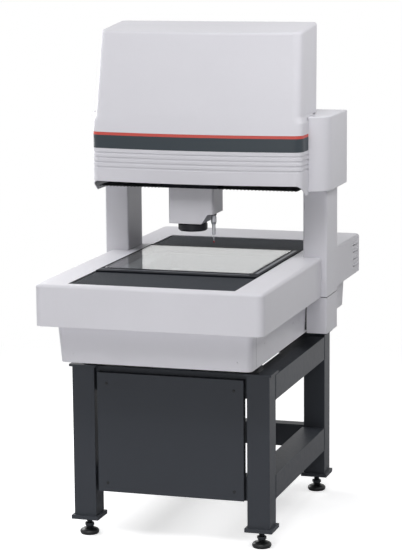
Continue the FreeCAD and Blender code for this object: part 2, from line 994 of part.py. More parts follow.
def make_skirts():
    rear_seam = skirt_rear - size("skirt_corner_radius") - WALL
    make_skirt("skirt_front", (-table_half, table_half, table_front, skirt_seam_y - GAP))
    make_skirt("skirt_left", (-table_half, 0, skirt_seam_y, rear_seam))
    make_skirt("skirt_right", (0, table_half, skirt_seam_y, rear_seam))
    make_skirt("skirt_rear", (-table_half, table_half, rear_seam + GAP, table_rear))


def make_column_base_cover(name, side):
    """The open box that closes the granite ear beside the skirt; a block on its floor meets the ear."""
    body = new_body(f"column_base_cover_{name}")
    inner = skirt_half_top + size("panel_gap")
    outline = new_sketch(body, "XY", skirt_bottom)
    rectangle(outline, side * inner, side * column_outer, column_front, column_rear)
    pad(body, outline, size("skirt_height") - size("column_seam_gap"))
    round_edges(body, size("column_corner_radius"), upright_at(column_outer))
    inside = new_sketch(body, "XY", skirt_bottom + WALL)
    open_side, outer = side * (inner - WALL), side * (column_outer - WALL)
    rectangle(inside, open_side, outer, column_front + WALL, column_rear - WALL)
    pocket(body, inside, size("skirt_height"), reverse=True)
    rest = new_sketch(body, "XY", skirt_bottom + WALL)
    margin = size("cover_rest_margin")
    rest_inner, rest_outer = side * (inner + margin), side * (granite_outer - margin)
    rectangle(rest, rest_inner, rest_outer, granite_front + margin, granite_rear - margin)
    pad(body, rest, base_bottom - GAP - skirt_bottom - WALL)
    return node(body)


def make_column_cover(name, side):
    body = new_body(f"column_cover_{name}")
    plan = new_sketch(body, "XY", seam)
    rectangle(plan, side * column_inner, side * column_outer, column_front, column_rear)
    inner, outer = side * (column_inner + WALL), side * (column_outer - WALL)
    rectangle(plan, inner, outer, column_front + WALL, column_rear - WALL)
    pad(body, plan, end_cover_bottom - seam)

    def outer_corner(edge, box):
        x, y = edge.Vertexes[0].X, edge.Vertexes[0].Y
        at_side = near(x, box.XMin) or near(x, box.XMax)
        return upright(edge, box) and at_side and (near(y, box.YMin) or near(y, box.YMax))

    round_edges(body, size("column_corner_radius"), outer_corner)
    return node(body)


# Bridge covers


def end_cover_plan(body, side, inset, open_reach):
    """A block with the end cover's large front corner, drawn in by inset on every closed side."""
    plan = new_sketch(body, "XY", end_cover_bottom + inset)
    outer_x = end_cover_outer[side] - inset
    inner, outer = side * (column_inner - open_reach), side * outer_x
    rectangle(plan, inner, outer, size("end_cover_front") + inset, end_cover_rear - inset)
    pad(body, plan, size("end_cover_height") - 2 * inset)

    def front_corner(edge, box):
        y = edge.Vertexes[0].Y
        return upright_at(outer_x)(edge, box) and near(y, box.YMin)

    round_edges(body, size("end_cover_radius") - inset, front_corner)


def make_end_cover(name, side):
    outer = new_body(f"end_cover_outside_{name}")
    end_cover_plan(outer, side, lift(0), lift(0))

    def rear_corner(edge, box):
        return upright_at(end_cover_outer[side])(edge, box) and near(edge.Vertexes[0].Y, box.YMax)

    def rim(edge, box):
        at_level = top_rim(edge, box) or bottom_rim(edge, box)
        return at_level and not near(edge.BoundBox.XMin, side * column_inner.number)

    round_edges(outer, size("column_corner_radius"), rear_corner)
    round_edges(outer, size("end_cover_edge_radius"), rim)
    nook = new_sketch(outer, "XY", end_cover_top + WALL)
    inner_x, clear_x = side * (column_inner - WALL), side * (head_half + GAP)
    rectangle(nook, inner_x, clear_x, size("end_cover_front") - WALL, wing_rear + GAP)
    pocket(outer, nook)
    inner = new_body(f"end_cover_inside_{name}")
    end_cover_plan(inner, side, WALL, WALL)
    hole = new_sketch(inner, "XY", end_cover_bottom - WALL)
    rectangle(hole, inner_x, side * (column_outer - WALL), column_front + WALL, column_rear - WALL)
    pad(inner, hole, 3 * WALL)
    return node(cut_of(f"bridge_end_cover_{name}", outer, inner))


def make_bridge_rear_cover():
    """One folded sheet: up the back of the head, over the beam and down behind it."""
    body = new_body("bridge_rear_cover")
    wall = size("rear_cover_wall")
    back = head_back
    shelf = end_cover_top
    rear = end_cover_rear
    profile = new_sketch(body, "YZ", 0)
    top = crown(head_top_back - wall) - WALL - GAP
    polygon(profile, [
        (head_top_back, top),
        (head_top_back - wall, top),
        (back - wall, shelf - wall),
        (rear - wall, shelf - wall),
        (rear - wall, end_cover_bottom),
        (rear, end_cover_bottom),
        (rear, shelf),
        (back, shelf),
    ])
    half = head_half - size("head_step_in") - WALL - GAP
    sheet_pad = pad(body, profile, 2 * half)
    sheet_pad.Midplane = True
    lean = new_sketch(body, "XZ", 0)
    top_half = size("head_top_width") / 2 - head_crown_inset - GAP
    for side in (-1, 1):
        polygon(lean, [
            (side * half, head_step),
            (side * (half + wall), head_step),
            (side * (half + wall), head_top),
            (side * top_half, head_top),
        ])
    pocket(body, lean, 4 * head_top_back, both=True)
    narrow = new_sketch(body, "XY", shelf + GAP)
    for side in (-1, 1):
        inner, outer = side * (column_inner - GAP), side * (half + wall)
        rectangle(narrow, inner, outer, size("end_cover_front"), rear + wall)
    pocket(body, narrow)
    return node(body)


# Head cover


def bow_radius(half, bow):
    """The radius of an arc over a chord of twice half that stands bow high."""
    return (half * half + bow * bow) / (2 * bow)


def bowed_outline(sketch, half, back, front, bow, corner, inset):
    """A plan outline with straight back and sides, a bowed front and two rounded front corners.

    front is where the sides would meet the bow, bow is how much further the middle stands forward,
    and inset draws the sides and the front in by a wall.
    """
    radius = bow_radius(half, bow)
    centre = front - bow + radius
    half, radius, corner = half - inset, radius - inset, corner - inset
    across = half.number - corner.number
    drop = math.sqrt((radius.number - corner.number) ** 2 - across ** 2)
    corner_y = centre.number - drop
    swing = math.atan2(drop, across)
    rear_edge, left, left_corner, bow_arc, right_corner, right = range(6)
    half_turn, turn = math.pi, 2 * math.pi
    sketch.addGeometry([
        Part.LineSegment(at(half.number, back.number), at(-half.number, back.number)),
        Part.LineSegment(at(-half.number, back.number), at(-half.number, corner_y)),
        arc(-across, corner_y, corner.number, half_turn, half_turn + swing),
        arc(0, centre.number, radius.number, half_turn + swing, turn - swing),
        arc(across, corner_y, corner.number, turn - swing, turn),
        Part.LineSegment(at(half.number, corner_y), at(half.number, back.number)),
    ], False)
    sketch.addConstraint(Sketcher.Constraint("Coincident", rear_edge, END, left, START))
    sketch.addConstraint(Sketcher.Constraint("Coincident", right, END, rear_edge, START))
    for one in range(left, right):
        sketch.addConstraint(Sketcher.Constraint("Tangent", one, END, one + 1, START))
    place_point(sketch, rear_edge, START, half, back)
    place_point(sketch, rear_edge, END, -half, back)
    sketch.addConstraint(Sketcher.Constraint("Vertical", left))
    sketch.addConstraint(Sketcher.Constraint("Vertical", right))
    sketch.addConstraint(Sketcher.Constraint("PointOnObject", bow_arc, CENTRE, UPRIGHT_AXIS))
    drive(sketch, "DistanceY", ORIGIN, START, bow_arc, CENTRE, to=centre)
    drive(sketch, "Radius", bow_arc, to=radius)
    drive(sketch, "Radius", left_corner, to=corner)
    drive(sketch, "Radius", right_corner, to=corner)


def lower_outline(sketch, inset, back=wing_rear):
    """The plan of the head cover below its step."""
    front, bow, corner = size("head_front"), size("head_bow"), size("head_corner_radius")
    bowed_outline(sketch, head_half, lift(back), front, bow, corner, inset)


def under_step_outline(sketch, inset, back):
    """The plan of the head cover just below its side steps; its front leans from the band on."""
    front, bow, corner = size("head_under_step_front"), size("head_bow"), size("head_corner_radius")
    bowed_outline(sketch, head_half, lift(back), front, bow, corner, inset)


def step_outline(sketch, inset, back):
    """The plan of the head cover above its side steps."""
    half = head_half - size("head_step_in")
    front, bow, corner = size("head_step_front"), size("head_bow"), size("head_corner_radius")
    bowed_outline(sketch, half, lift(back), front, bow, corner, inset)


def top_outline(sketch, inset, back):
    half, front, bow = size("head_top_width") / 2, size("head_top_front"), size("head_top_bow")
    bowed_outline(sketch, half, lift(back), front, bow, size("head_corner_radius"), inset)


def head_solids(body, inset, bottom, wing_back, backs, crown_inset):
    """Lower casing, side steps and leaning upper casing, drawn in by inset, under a slanted top.

    backs are the upper casing's rear planes at its bottom and top.
    """
    band_top = head_step - size("band_top_drop")
    plan = new_sketch(body, "XY", bottom)
    lower_outline(plan, inset, wing_back)
    pad(body, plan, band_top - bottom)
    under_step = step_bottom, under_step_outline, inset, wing_back
    join(body, (band_top, lower_outline, inset, wing_back), under_step)
    join(body, under_step, (head_step, step_outline, inset, wing_back))
    join(body, (head_step, step_outline, inset, backs[0]), (head_top, top_outline, crown_inset, backs[1]))
    wedge = new_sketch(body, "YZ", 0)
    front, back = 2 * size("head_front"), 2 * head_top_back
    polygon(wedge, [
        (front, crown(front) - inset),
        (back, crown(back) - inset),
        (back, head_top + head_top_back),
        (front, head_top + head_top_back),
    ])
    pocket(body, wedge, 2 * table_half, both=True)


def join(body, low, high):
    """Lofts between two plans, each given as (level, outline, inset, back)."""
    sections = []
    for level, outline, inset, back in (low, high):
        section = new_sketch(body, "XY", level)
        outline(section, inset, back)
        sections.append(section)
    loft(body, *sections)


def make_head_cover():
    body = new_body("head_cover_outside")
    backs = head_back, head_top_back
    head_solids(body, lift(0), wing_bottom, wing_rear, backs, lift(0))

    def crown_edge(edge, box):
        """The slanted top's front and side edges."""
        level = all(near(v.Z, crown(lift(v.Y)).number) for v in edge.Vertexes)
        return level and not near(edge.BoundBox.YMin, box.YMax)

    round_edges(body, size("head_top_radius"), crown_edge)
    trim_bottom_edge(body)
    ring_cut(body, head_step - size("band_top_drop"), size("band_height"), size("band_recess"))
    groove_top = head_step - size("rib_top_drop")
    groove = ring_cut(body, groove_top, size("rib_groove_height"), size("rib_groove_depth"))
    repeat_down(body, groove, "rib_count", "rib_pitch")
    inside = new_body("head_cover_inside")
    backs = head_back + WALL, head_top_back + WALL
    head_solids(inside, WALL, wing_bottom - WALL, wing_rear + WALL, backs, head_crown_inset)
    return node(cut_of("head_cover", body, inside))


def trim_bottom_edge(body):
    """Cuts the casing's bottom: a level front and slanted wings at both sides."""
    slope_start = size("head_front")
    slope_end = slope_start + size("wing_slope_length")
    before = slope_start - 2 * size("head_bow")
    below = wing_bottom - WALL
    edge = new_sketch(body, "YZ", 0)
    polygon(edge, [
        (before, below),
        (slope_end, below),
        (slope_end, wing_bottom),
        (slope_start, head_bottom),
        (before, head_bottom),
    ])
    pocket(body, edge, 2 * table_half, both=True)


def ring_cut(body, top, height, depth):
    """A groove round the front and the sides of the lower casing."""
    ring = new_sketch(body, "XY", top)
    lower_outline(ring, depth, wing_rear - WALL)
    far = table_half
    rectangle(ring, -far, far, -far, wing_rear - WALL / 2)
    return pocket(body, ring, height)


def make_head_band():
    body = new_body("head_band")
    top = head_step - size("band_top_drop") - GAP
    plan = new_sketch(body, "XY", top)
    lower_outline(plan, lift(0), wing_rear - WALL)
    pad(body, plan, size("band_height") - 2 * GAP, reverse=True)
    inside = new_sketch(body, "XY", top)
    lower_outline(inside, size("band_recess"), wing_rear)
    pocket(body, inside)
    return node(body)


# Linear guides, screws and motors


def rail_section(sketch, across, foot, rise, span, on="x"):
    """A guide rail's section: a head on a narrow waist, standing on foot."""
    half = span / 2
    neck = half - size("rail_waist")
    lower, middle, upper = rise * 0.3, rise * 0.5, rise * 0.7
    right = [(half, 0 * rise), (half, lower), (neck, middle), (half, upper), (half, rise)]
    profile = right + [(-u, v) for u, v in reversed(right)]
    if on == "x":
        polygon(sketch, [(across + u, foot + v) for u, v in profile])
    else:
        polygon(sketch, [(foot - v, across + u) for u, v in profile])


def make_y_rails():
    body = new_body("y_rails")
    section = new_sketch(body, "XZ", -(y_rail_front + y_rail_length))
    for side in (-1, 1):
        x = side * y_rail_x
        rail_section(section, x, seam, size("rail_body_height"), size("rail_size"))
    pad(body, section, y_rail_length)
    return node(body)


x_rail_levels = (beam_bottom + size("x_rail_low_rise"), beam_bottom + size("x_rail_high_rise"))


def make_x_rails():
    body = new_body("x_rails")
    half = size("x_rail_length") / 2
    section = new_sketch(body, "YZ", -half)
    for level in x_rail_levels:
        rail_section(section, level, beam_front, size("x_rail_body_height"), size("rail_size"), on="y")
    pad(body, section, 2 * half)
    return node(body)


carriage_x = size("carriage_centre_x")
carriage_half = size("carriage_width") / 2
carriage_back = beam_front - size("x_rail_body_height") - size("carriage_block_roof")
carriage_front = carriage_back - size("carriage_plate_thick")
carriage_bottom = wing_bottom + size("apron_drop")
x_screw_z = beam_bottom + size("x_screw_rise")
x_screw_y = carriage_back + size("nut_size") / 2 - WALL
y_screw_z = seam + size("y_screw_rise")
z_rail_front = carriage_front - size("z_rail_body_height")
z_screw_y = z_rail_front
z_low = carriage_bottom + size("apron_height") + size("z_rail_end_gap")
z_high = size("carriage_top")


def make_z_rails():
    body = new_body("z_rails")
    section = new_sketch(body, "XY", z_low)
    for side in (-1, 1):
        x = carriage_x + side * size("z_rail_spacing") / 2
        rail_section(section, x, carriage_front, -size("z_rail_body_height"), size("z_rail_size"))
    pad(body, section, z_high - z_low - size("z_rail_end_gap"))
    return node(body)


def make_screw(label, length, diameter, x, y, z, turn):
    """A ball screw with a thinner journal at each end, made along its own Z and turned to its axis."""
    body = new_body(label)
    radius = diameter / 2
    journal = size("screw_journal") / 2
    half = length / 2
    shoulder = half - size("bearing_block_thick")
    revolve(body, [
        (0, -half),
        (journal, -half),
        (journal, -shoulder),
        (radius, -shoulder),
        (radius, shoulder),
        (journal, shoulder),
        (journal, half),
        (0, half),
    ])
    place(body, x, y, z, turn)
    return node(body)


def place(body, x, y, z, turn):
    """Puts a body made along Z at x, y, z, with its Z turned to run along the named axis."""
    for key, value in zip("xyz", (x, y, z)):
        body.setExpression(f"Placement.Base.{key}", lift(value).text)
    axis, angle = {
        "X": (FreeCAD.Vector(0, 1, 0), 90),
        "Y": (FreeCAD.Vector(1, 0, 0), -90),
        "Z": (FreeCAD.Vector(0, 0, 1), 0),
    }[turn]
    body.Placement = FreeCAD.Placement(body.Placement.Base, FreeCAD.Rotation(axis, angle))


def bearing_block(label, x, y, z, turn, foot):
    """A block round a screw's journal, whose foot reaches the granite, foot away from the axis."""
    body = new_body(label)
    half = size("bearing_block_size") / 2
    outline = new_sketch(body, "XY", 0)
    rectangle(outline, -half, half, -half, foot)
    circle(outline, 0, 0, size("screw_journal") + 2 * RUN)
    pad(body, outline, size("bearing_block_thick"))
    place(body, x, y, z, turn)
    return body


def motor(label, x, y, z, turn):
    """A servo motor: flange, square housing with cut corners and a smaller rear cap."""
    body = new_body(label)
    half = size("motor_size") / 2
    thick = size("motor_flange_thick")
    flange = new_sketch(body, "XY", 0)
    rectangle(flange, -half, half, -half, half)
    pad(body, flange, thick)
    housing = new_sketch(body, "XY", thick)
    inner = half - size("motor_housing_inset")
    short = inner - size("motor_housing_chamfer")
    polygon(housing, [
        (-short, -inner),
        (short, -inner),
        (inner, -short),
        (inner, short),
        (short, inner),
        (-short, inner),
        (-inner, short),
        (-inner, -short),
    ])
    housing_end = size("motor_length") - size("motor_cap_length")
    pad(body, housing, housing_end - thick)
    cap = new_sketch(body, "XY", housing_end)
    circle(cap, 0, 0, 2 * short + size("motor_housing_chamfer"))
    pad(body, cap, size("motor_cap_length"))
    place(body, x, y, z, turn)
    return body


x_screw_left = size("x_screw_centre_x") - size("x_screw_length") / 2
x_screw_right = size("x_screw_centre_x") + size("x_screw_length") / 2
block_thick = size("bearing_block_thick")


def make_bearing_blocks():
    y_foot = y_screw_z - seam
    x_foot = beam_front - x_screw_y
    screw_x = y_screw_x
    rear, right = y_screw_rear - block_thick, x_screw_right - block_thick
    members = [
        bearing_block("y_bearing_front", screw_x, y_screw_front, y_screw_z, "Y", y_foot),
        bearing_block("y_bearing_rear", screw_x, rear, y_screw_z, "Y", y_foot),
        bearing_block("x_bearing_left", x_screw_left, x_screw_y, x_screw_z, "X", x_foot),
        bearing_block("x_bearing_right", right, x_screw_y, x_screw_z, "X", x_foot),
    ]
    return node(group_of("screw_bearing_blocks", members))


def make_axis_motors():
    members = [
        motor("y_motor", y_screw_x, y_screw_rear + GAP, y_screw_z, "Y"),
        motor("x_motor", x_screw_right + GAP, x_screw_y, x_screw_z, "X"),
    ]
    return node(group_of("axis_motors", members))


def make_linear_scales():
    body = new_body("linear_scales")
    width = size("scale_width")
    y_tape = new_sketch(body, "XY", seam)
    x = y_rail_x + size("guide_block_width") / 2 + width
    rectangle(y_tape, -x - width, -x, y_rail_front, y_rail_front + y_rail_length)
    pad(body, y_tape, size("scale_thick"))
    x_tape = new_sketch(body, "XZ", -beam_front)
    level = beam_top - size("granite_chamfer") - size("small_chamfer")
    half = size("x_rail_length") / 2
    rectangle(x_tape, -half, half, level - width, level)
    pad(body, x_tape, size("scale_thick"))
    return node(body)


def make_substage_light():
    body = new_body("substage_light")
    half, deep = size("light_width") / 2, size("light_depth") / 2
    outline = new_sketch(body, "XY", seam)
    rectangle(outline, -half, half, work_y - deep, work_y + deep)
    pad(body, outline, size("light_height"))
    slot = new_sketch(body, "XY", seam + size("light_height"))
    slot_half, slot_deep = size("light_slot_width") / 2, size("light_slot_depth") / 2
    rectangle(slot, -slot_half, slot_half, work_y - slot_deep, work_y + slot_deep)
    pocket(body, slot, size("light_slot_drop"))
    round_edges(body, size("small_chamfer"), upright_at(half), chamfer=True)
    return node(body)


# Stage


def make_stage_table():
    body = new_body("stage_table")
    margin = size("stage_table_window_margin")
    window = stage_half - size("stage_table_side_margin")
    outline = new_sketch(body, "XY", stage_table_bottom)
    rectangle(outline, -stage_half, stage_half, stage_front, stage_rear)
    rectangle(outline, -window, window, stage_front + margin, stage_rear - margin)
    pad(body, outline, size("stage_table_height"))
    round_edges(body, size("stage_corner_radius"), upright)
    x = y_screw_x
    half = size("nut_size") / 2
    nut = new_sketch(body, "XZ", -(stage_y + size("nut_length") / 2))
    rectangle(nut, x - half, x + half, y_screw_z - half, stage_table_bottom + half)
    pad(body, nut, size("nut_length"))
    bore = new_sketch(body, "XZ", -(stage_y + size("nut_length") / 2))
    circle(bore, x, y_screw_z, size("y_screw_diameter") + 2 * RUN)
    pocket(body, bore, size("nut_length"), reverse=True)
    return node(body)


def glass_box(inset):
    half_x = size("glass_width") / 2 + inset
    half_y = size("glass_length") / 2 + inset
    x, y = size("glass_shift_x"), stage_y + size("glass_shift_y")
    return x - half_x, x + half_x, y - half_y, y + half_y


def make_stage_frame():
    body = new_body("stage_frame")
    outline = new_sketch(body, "XY", stage_frame_bottom)
    rectangle(outline, -stage_half, stage_half, stage_front, stage_rear)
    rectangle(outline, *glass_box(-size("glass_ledge")))
    pad(body, outline, size("stage_frame_height"))
    seat = new_sketch(body, "XY", stage_top)
    rectangle(seat, *glass_box(size("glass_gap")))
    pocket(body, seat, size("glass_thick"))
    holes = new_sketch(body, "XY", stage_top)
    for side in (-1, 1):
        x = side * size("fixture_hole_spacing") / 2
        circle(holes, x, stage_front + size("fixture_hole_inset"), size("fixture_hole_diameter"))
    pocket(body, holes, size("fixture_hole_depth"))
    round_edges(body, size("stage_corner_radius"), upright_at(stage_half))
    return node(body)


def make_stage_glass():
    body = new_body("stage_glass")
    outline = new_sketch(body, "XY", stage_top - size("glass_thick"))
    rectangle(outline, *glass_box(0))
    pad(body, outline, size("glass_thick"))
    round_edges(body, size("glass_chamfer"), top_rim, chamfer=True)
    return node(body)


def block_section(sketch, across, foot, seat, span, width, on="x"):
    """A guide block's section: a channel over the rail's head, seated on the plate that it carries."""
    clear = size("guide_clearance")
    half = width / 2
    inner = span / 2 + clear
    head = foot + clear if on == "x" else foot - clear
    start = size("guide_block_gap")
    low = seam + start if on == "x" else beam_front - start
    left = [(across - half, seat), (across - half, low), (across - inner, low), (across - inner, head)]
    right = [(across + inner, head), (across + inner, low), (across + half, low), (across + half, seat)]
    outline = left + right
    polygon(sketch, outline if on == "x" else [(v, u) for u, v in outline])


def make_stage_guide_blocks():
    body = new_body("stage_guide_blocks")
    length = size("guide_block_length")
    rail_top_level = seam + size("rail_body_height")
    width = size("guide_block_width")
    for step in (-1, 1):
        y = stage_y + step * size("stage_block_spacing") / 2
        section = new_sketch(body, "XZ", -(y + length / 2))
        for side in (-1, 1):
            x = side * y_rail_x
            block_section(section, x, rail_top_level, stage_table_bottom, size("rail_size"), width)
        pad(body, section, length)
    return node(body)


def pleated(start, end, top, bottom, count):
    """The outline of a bellows seen from its side: a zigzag top over a flat bottom."""
    depth = size("bellows_pleat_depth")
    pitch = (end - start) / count
    outline = [(start, bottom), (end, bottom)]
    for k in range(count):
        outline.append((end - pitch * k, top))
        outline.append((end - pitch * (k + 0.5), top - depth))
    outline.append((start, top))
    return outline


def make_bellows(label, start, end):
    body = new_body(label)
    half = window_half - size("bellows_side_gap")
    side = new_sketch(body, "YZ", -half)
    count = int(size("bellows_pleats").number)
    polygon(side, pleated(start, end, bellows_top, bellows_bottom, count))
    pad(body, side, 2 * half)
    return node(body)


# Carriage


def make_carriage_plate():
    body = new_body("carriage_plate")
    left, right = carriage_x - carriage_half, carriage_x + carriage_half
    face = new_sketch(body, "XZ", -carriage_back)
    rectangle(face, left, right, carriage_bottom + WALL, z_high)
    pad(body, face, size("carriage_plate_thick"))
    shelf = size("shelf_width") / 2
    for level in (z_low, z_high - size("shelf_thick")):
        plan = new_sketch(body, "XY", level)
        front = carriage_front - size("shelf_depth")
        rectangle(plan, carriage_x - shelf, carriage_x + shelf, front, carriage_front)
        circle(plan, carriage_x, z_screw_y, size("screw_journal") + 2 * RUN)
        pad(body, plan, size("shelf_thick"))
    half = size("nut_size") / 2
    nut = new_sketch(body, "YZ", carriage_x - size("nut_length") / 2)
    rectangle(nut, carriage_back, x_screw_y + half, x_screw_z - half, x_screw_z + half)
    pad(body, nut, size("nut_length"))
    bore = new_sketch(body, "YZ", left)
    circle(bore, x_screw_y, x_screw_z, size("x_screw_diameter") + 2 * RUN)
    pocket(body, bore, 2 * carriage_half, reverse=True)
    return node(body)


def make_carriage_guide_blocks():
    body = new_body("carriage_guide_blocks")
    length = size("carriage_block_length")
    rail_face = beam_front - size("x_rail_body_height")
    width = size("carriage_block_width")
    for step in (-1, 1):
        x = carriage_x + step * size("carriage_block_spacing") / 2
        section = new_sketch(body, "YZ", x - length / 2)
        for level in x_rail_levels:
            block_section(section, level, rail_face, carriage_back, size("rail_size"), width, on="y")
        pad(body, section, length)
    return node(body)


apron_half = size("apron_width") / 2
apron_bottom = carriage_bottom
apron_top = apron_bottom + size("apron_height")


def make_head_apron():
    body = new_body("head_apron")
    plan = new_sketch(body, "XY", apron_bottom)
    left, right = carriage_x - apron_half, carriage_x + apron_half
    rectangle(plan, left, right, size("apron_front"), carriage_front)
    gap = size("apron_gap")
    half = size("housing_width") / 2 + gap
    x = size("housing_centre_x")
    back = size("housing_back") + size("z_slide_thick") + gap
    rectangle(plan, x - half, x + half, size("housing_front") - gap, back)
    pad(body, plan, size("apron_height"))
    return node(body)


def make_x_bellows(label, start, end):
    body = new_body(label)
    back = carriage_front
    side = new_sketch(body, "XZ", -size("apron_front"))
    count = int(size("x_bellows_pleats").number)
    polygon(side, pleated(start, end, apron_top, apron_bottom, count))
    pad(body, side, back - size("apron_front"), reverse=True)
    return node(body)


# Measuring head

housing_x = size("housing_centre_x")
housing_half = size("housing_width") / 2
housing_bottom = size("housing_bottom")
probe_seat = housing_bottom + size("housing_step_rise")
optical_x = size("optical_axis_x")


def housing_outline(inset):
    """The housing seen from the front: a box with a step and a slant at the lower right."""
    left, right = housing_x - housing_half, housing_x + housing_half
    top = size("housing_top")
    slant_top = right - size("housing_step_width") - inset / 2
    return [
        (left + inset, housing_bottom + inset),
        (slant_top - size("housing_slant"), housing_bottom + inset),
        (slant_top, probe_seat + inset),
        (right - inset, probe_seat + inset),
        (right - inset, top - inset),
        (left + inset, top - inset),
    ]


def make_optics_housing():
    body = new_body("optics_housing")
    depth = size("housing_back") - size("housing_front")
    wall = size("housing_wall")
    face = new_sketch(body, "XZ", -size("housing_back"))
    polygon(face, housing_outline(lift(0)))
    pad(body, face, depth)

    def front_corner(edge, box):
        return upright(edge, box) and near(edge.Vertexes[0].Y, box.YMin)

    round_edges(body, size("housing_corner_radius"), front_corner)
    inside = new_sketch(body, "XZ", -size("housing_back"))
    polygon(inside, housing_outline(wall))
    pocket(body, inside, depth - wall, reverse=True)
    hole = new_sketch(body, "XY", housing_bottom)
    circle(hole, optical_x, work_y, size("lens_hole_diameter"))
    pocket(body, hole, wall, reverse=True)
    return node(body)


def make_z_slide():
    """The slide plate behind the housing, with its guide blocks, the screw's nut and the lens clamp."""
    body = new_body("z_slide")
    back = size("housing_back") + size("z_slide_thick")
    half = housing_half - size("z_slide_margin")
    plate = new_sketch(body, "XZ", -back)
    rectangle(plate, housing_x - half, housing_x + half, probe_seat, size("z_slide_top"))
    pad(body, plate, size("z_slide_thick"))
    clear = size("guide_clearance")
    inner = size("z_rail_size") / 2 + clear
    rail_face = z_rail_front - clear
    wide = size("z_block_width") / 2
    rear = carriage_front - size("z_block_gap")
    for level in (size("z_block_low"), size("z_block_high")):
        blocks = new_sketch(body, "XY", level - size("z_block_length") / 2)
        for side in (-1, 1):
            x = carriage_x + side * size("z_rail_spacing") / 2
            left = [(x - wide, back), (x - wide, rear), (x - inner, rear), (x - inner, rail_face)]
            right = [(x + inner, rail_face), (x + inner, rear), (x + wide, rear), (x + wide, back)]
            polygon(blocks, left + right)
        pad(body, blocks, size("z_block_length"))
    nut = new_sketch(body, "XY", size("z_nut_height") - size("z_nut_length") / 2)
    wide = size("z_nut_width") / 2
    rectangle(nut, carriage_x - wide, carriage_x + wide, back, carriage_front - size("z_block_gap"))
    circle(nut, carriage_x, z_screw_y, size("z_screw_diameter") + 2 * RUN)
    pad(body, nut, size("z_nut_length"))
    clamp = new_sketch(body, "XY", size("lens_clamp_level"))
    wide = size("lens_clamp_width") / 2
    rectangle(clamp, optical_x - wide, optical_x + wide, work_y - wide, size("housing_back"))
    circle(clamp, optical_x, work_y, size("lens_diameter"))
    pad(body, clamp, size("lens_clamp_height"))
    return node(body)


def make_camera():
    body = new_body("camera")
    half = size("camera_size") / 2
    plan = new_sketch(body, "XY", size("camera_base"))
    rectangle(plan, optical_x - half, optical_x + half, work_y - half, work_y + half)
    pad(body, plan, size("camera_length"))
    round_edges(body, size("small_chamfer"), upright)
    return node(body)


def make_lens_tube():
    """The objective, a narrow neck, the main barrel and the camera's adapter, from below."""
    body = new_body("lens_tube")
    barrel = size("lens_diameter") / 2
    tip = size("objective_diameter") / 2
    neck = tip - size("lens_neck_depth")
    glass = tip - size("lens_rim")
    low = housing_bottom - size("objective_tip_drop")
    shoulder = low + size("objective_length")
    taper = size("lens_taper")
    adapter = size("lens_adapter_length")
    top = size("camera_base")
    narrow = barrel - size("lens_neck_depth")
    revolve(body, [
        (0, low + size("lens_glass_depth")),
        (glass, low + size("lens_glass_depth")),
        (glass, low),
        (tip - size("small_chamfer"), low),
        (tip, low + size("small_chamfer")),
        (tip, shoulder - taper),
        (neck, shoulder),
        (neck, shoulder + 2 * taper),
        (barrel, shoulder + 3 * taper),
        (barrel, top - adapter - taper),
        (narrow, top - adapter),
        (narrow, top),
        (0, top),
    ], optical_x, work_y)
    return node(body)


def make_ring_light():
    """A ring of light round the lens, on a hub under the housing, with a plug beside the slant."""
    body = new_body("ring_light")
    outer = size("ring_outer_diameter") / 2
    inner = size("ring_inner_diameter") / 2
    top = housing_bottom - size("ring_spacer")
    low = top - size("ring_height")
    hub = size("lens_hole_diameter") / 2 + size("ring_hub_overlap")
    edge_cut = size("ring_edge_cut")
    small = size("small_chamfer")
    groove = size("ring_groove_depth")
    revolve(body, [
        (inner, low),
        (outer - edge_cut, low),
        (outer, low + edge_cut),
        (outer, top - small),
        (outer - small, top),
        (hub, top),
        (hub, housing_bottom),
        (inner, housing_bottom),
        (inner, low + 3 * groove),
        (inner + groove, low + 2 * groove),
        (inner, low + groove),
    ], optical_x, work_y)
    plug = new_sketch(body, "XY", top - size("ring_height") / 2)
    width = size("ring_tab_width")
    edge = outer - small
    polygon(plug, [
        (edge - width / 2, -width / 2),
        (edge, -width / 4),
        (edge, width / 4),
        (edge - width / 2, width / 2),
    ])
    pad(body, plug, size("ring_height") / 2 + size("ring_tab_rise"))
    slant = new_sketch(body, "XZ", width)
    step = housing_x + housing_half - size("housing_step_width") - optical_x
    foot = step - size("housing_slant")
    polygon(slant, [
        (foot - width, housing_bottom - GAP),
        (foot + 3 * GAP, housing_bottom - GAP),
        (step + 3 * GAP, probe_seat),
        (foot - width, probe_seat),
    ])
    pocket(body, slant, 2 * width)
    return node(body)


# Touch probe

probe_collar_low = probe_seat - size("probe_collar_height")
probe_barrel_low = probe_collar_low - size("probe_body_length")
probe_low = probe_barrel_low - size("probe_module_length")
stylus_pivot = probe_low + size("stylus_cavity_depth") - size("gimbal_drop")
gimbal_outer = size("gimbal_outer_diameter") / 2
gimbal_inner = size("gimbal_inner_diameter") / 2
pin_diameter = size("gimbal_pin_diameter")
pin_hole_diameter = pin_diameter + 2 * RUN


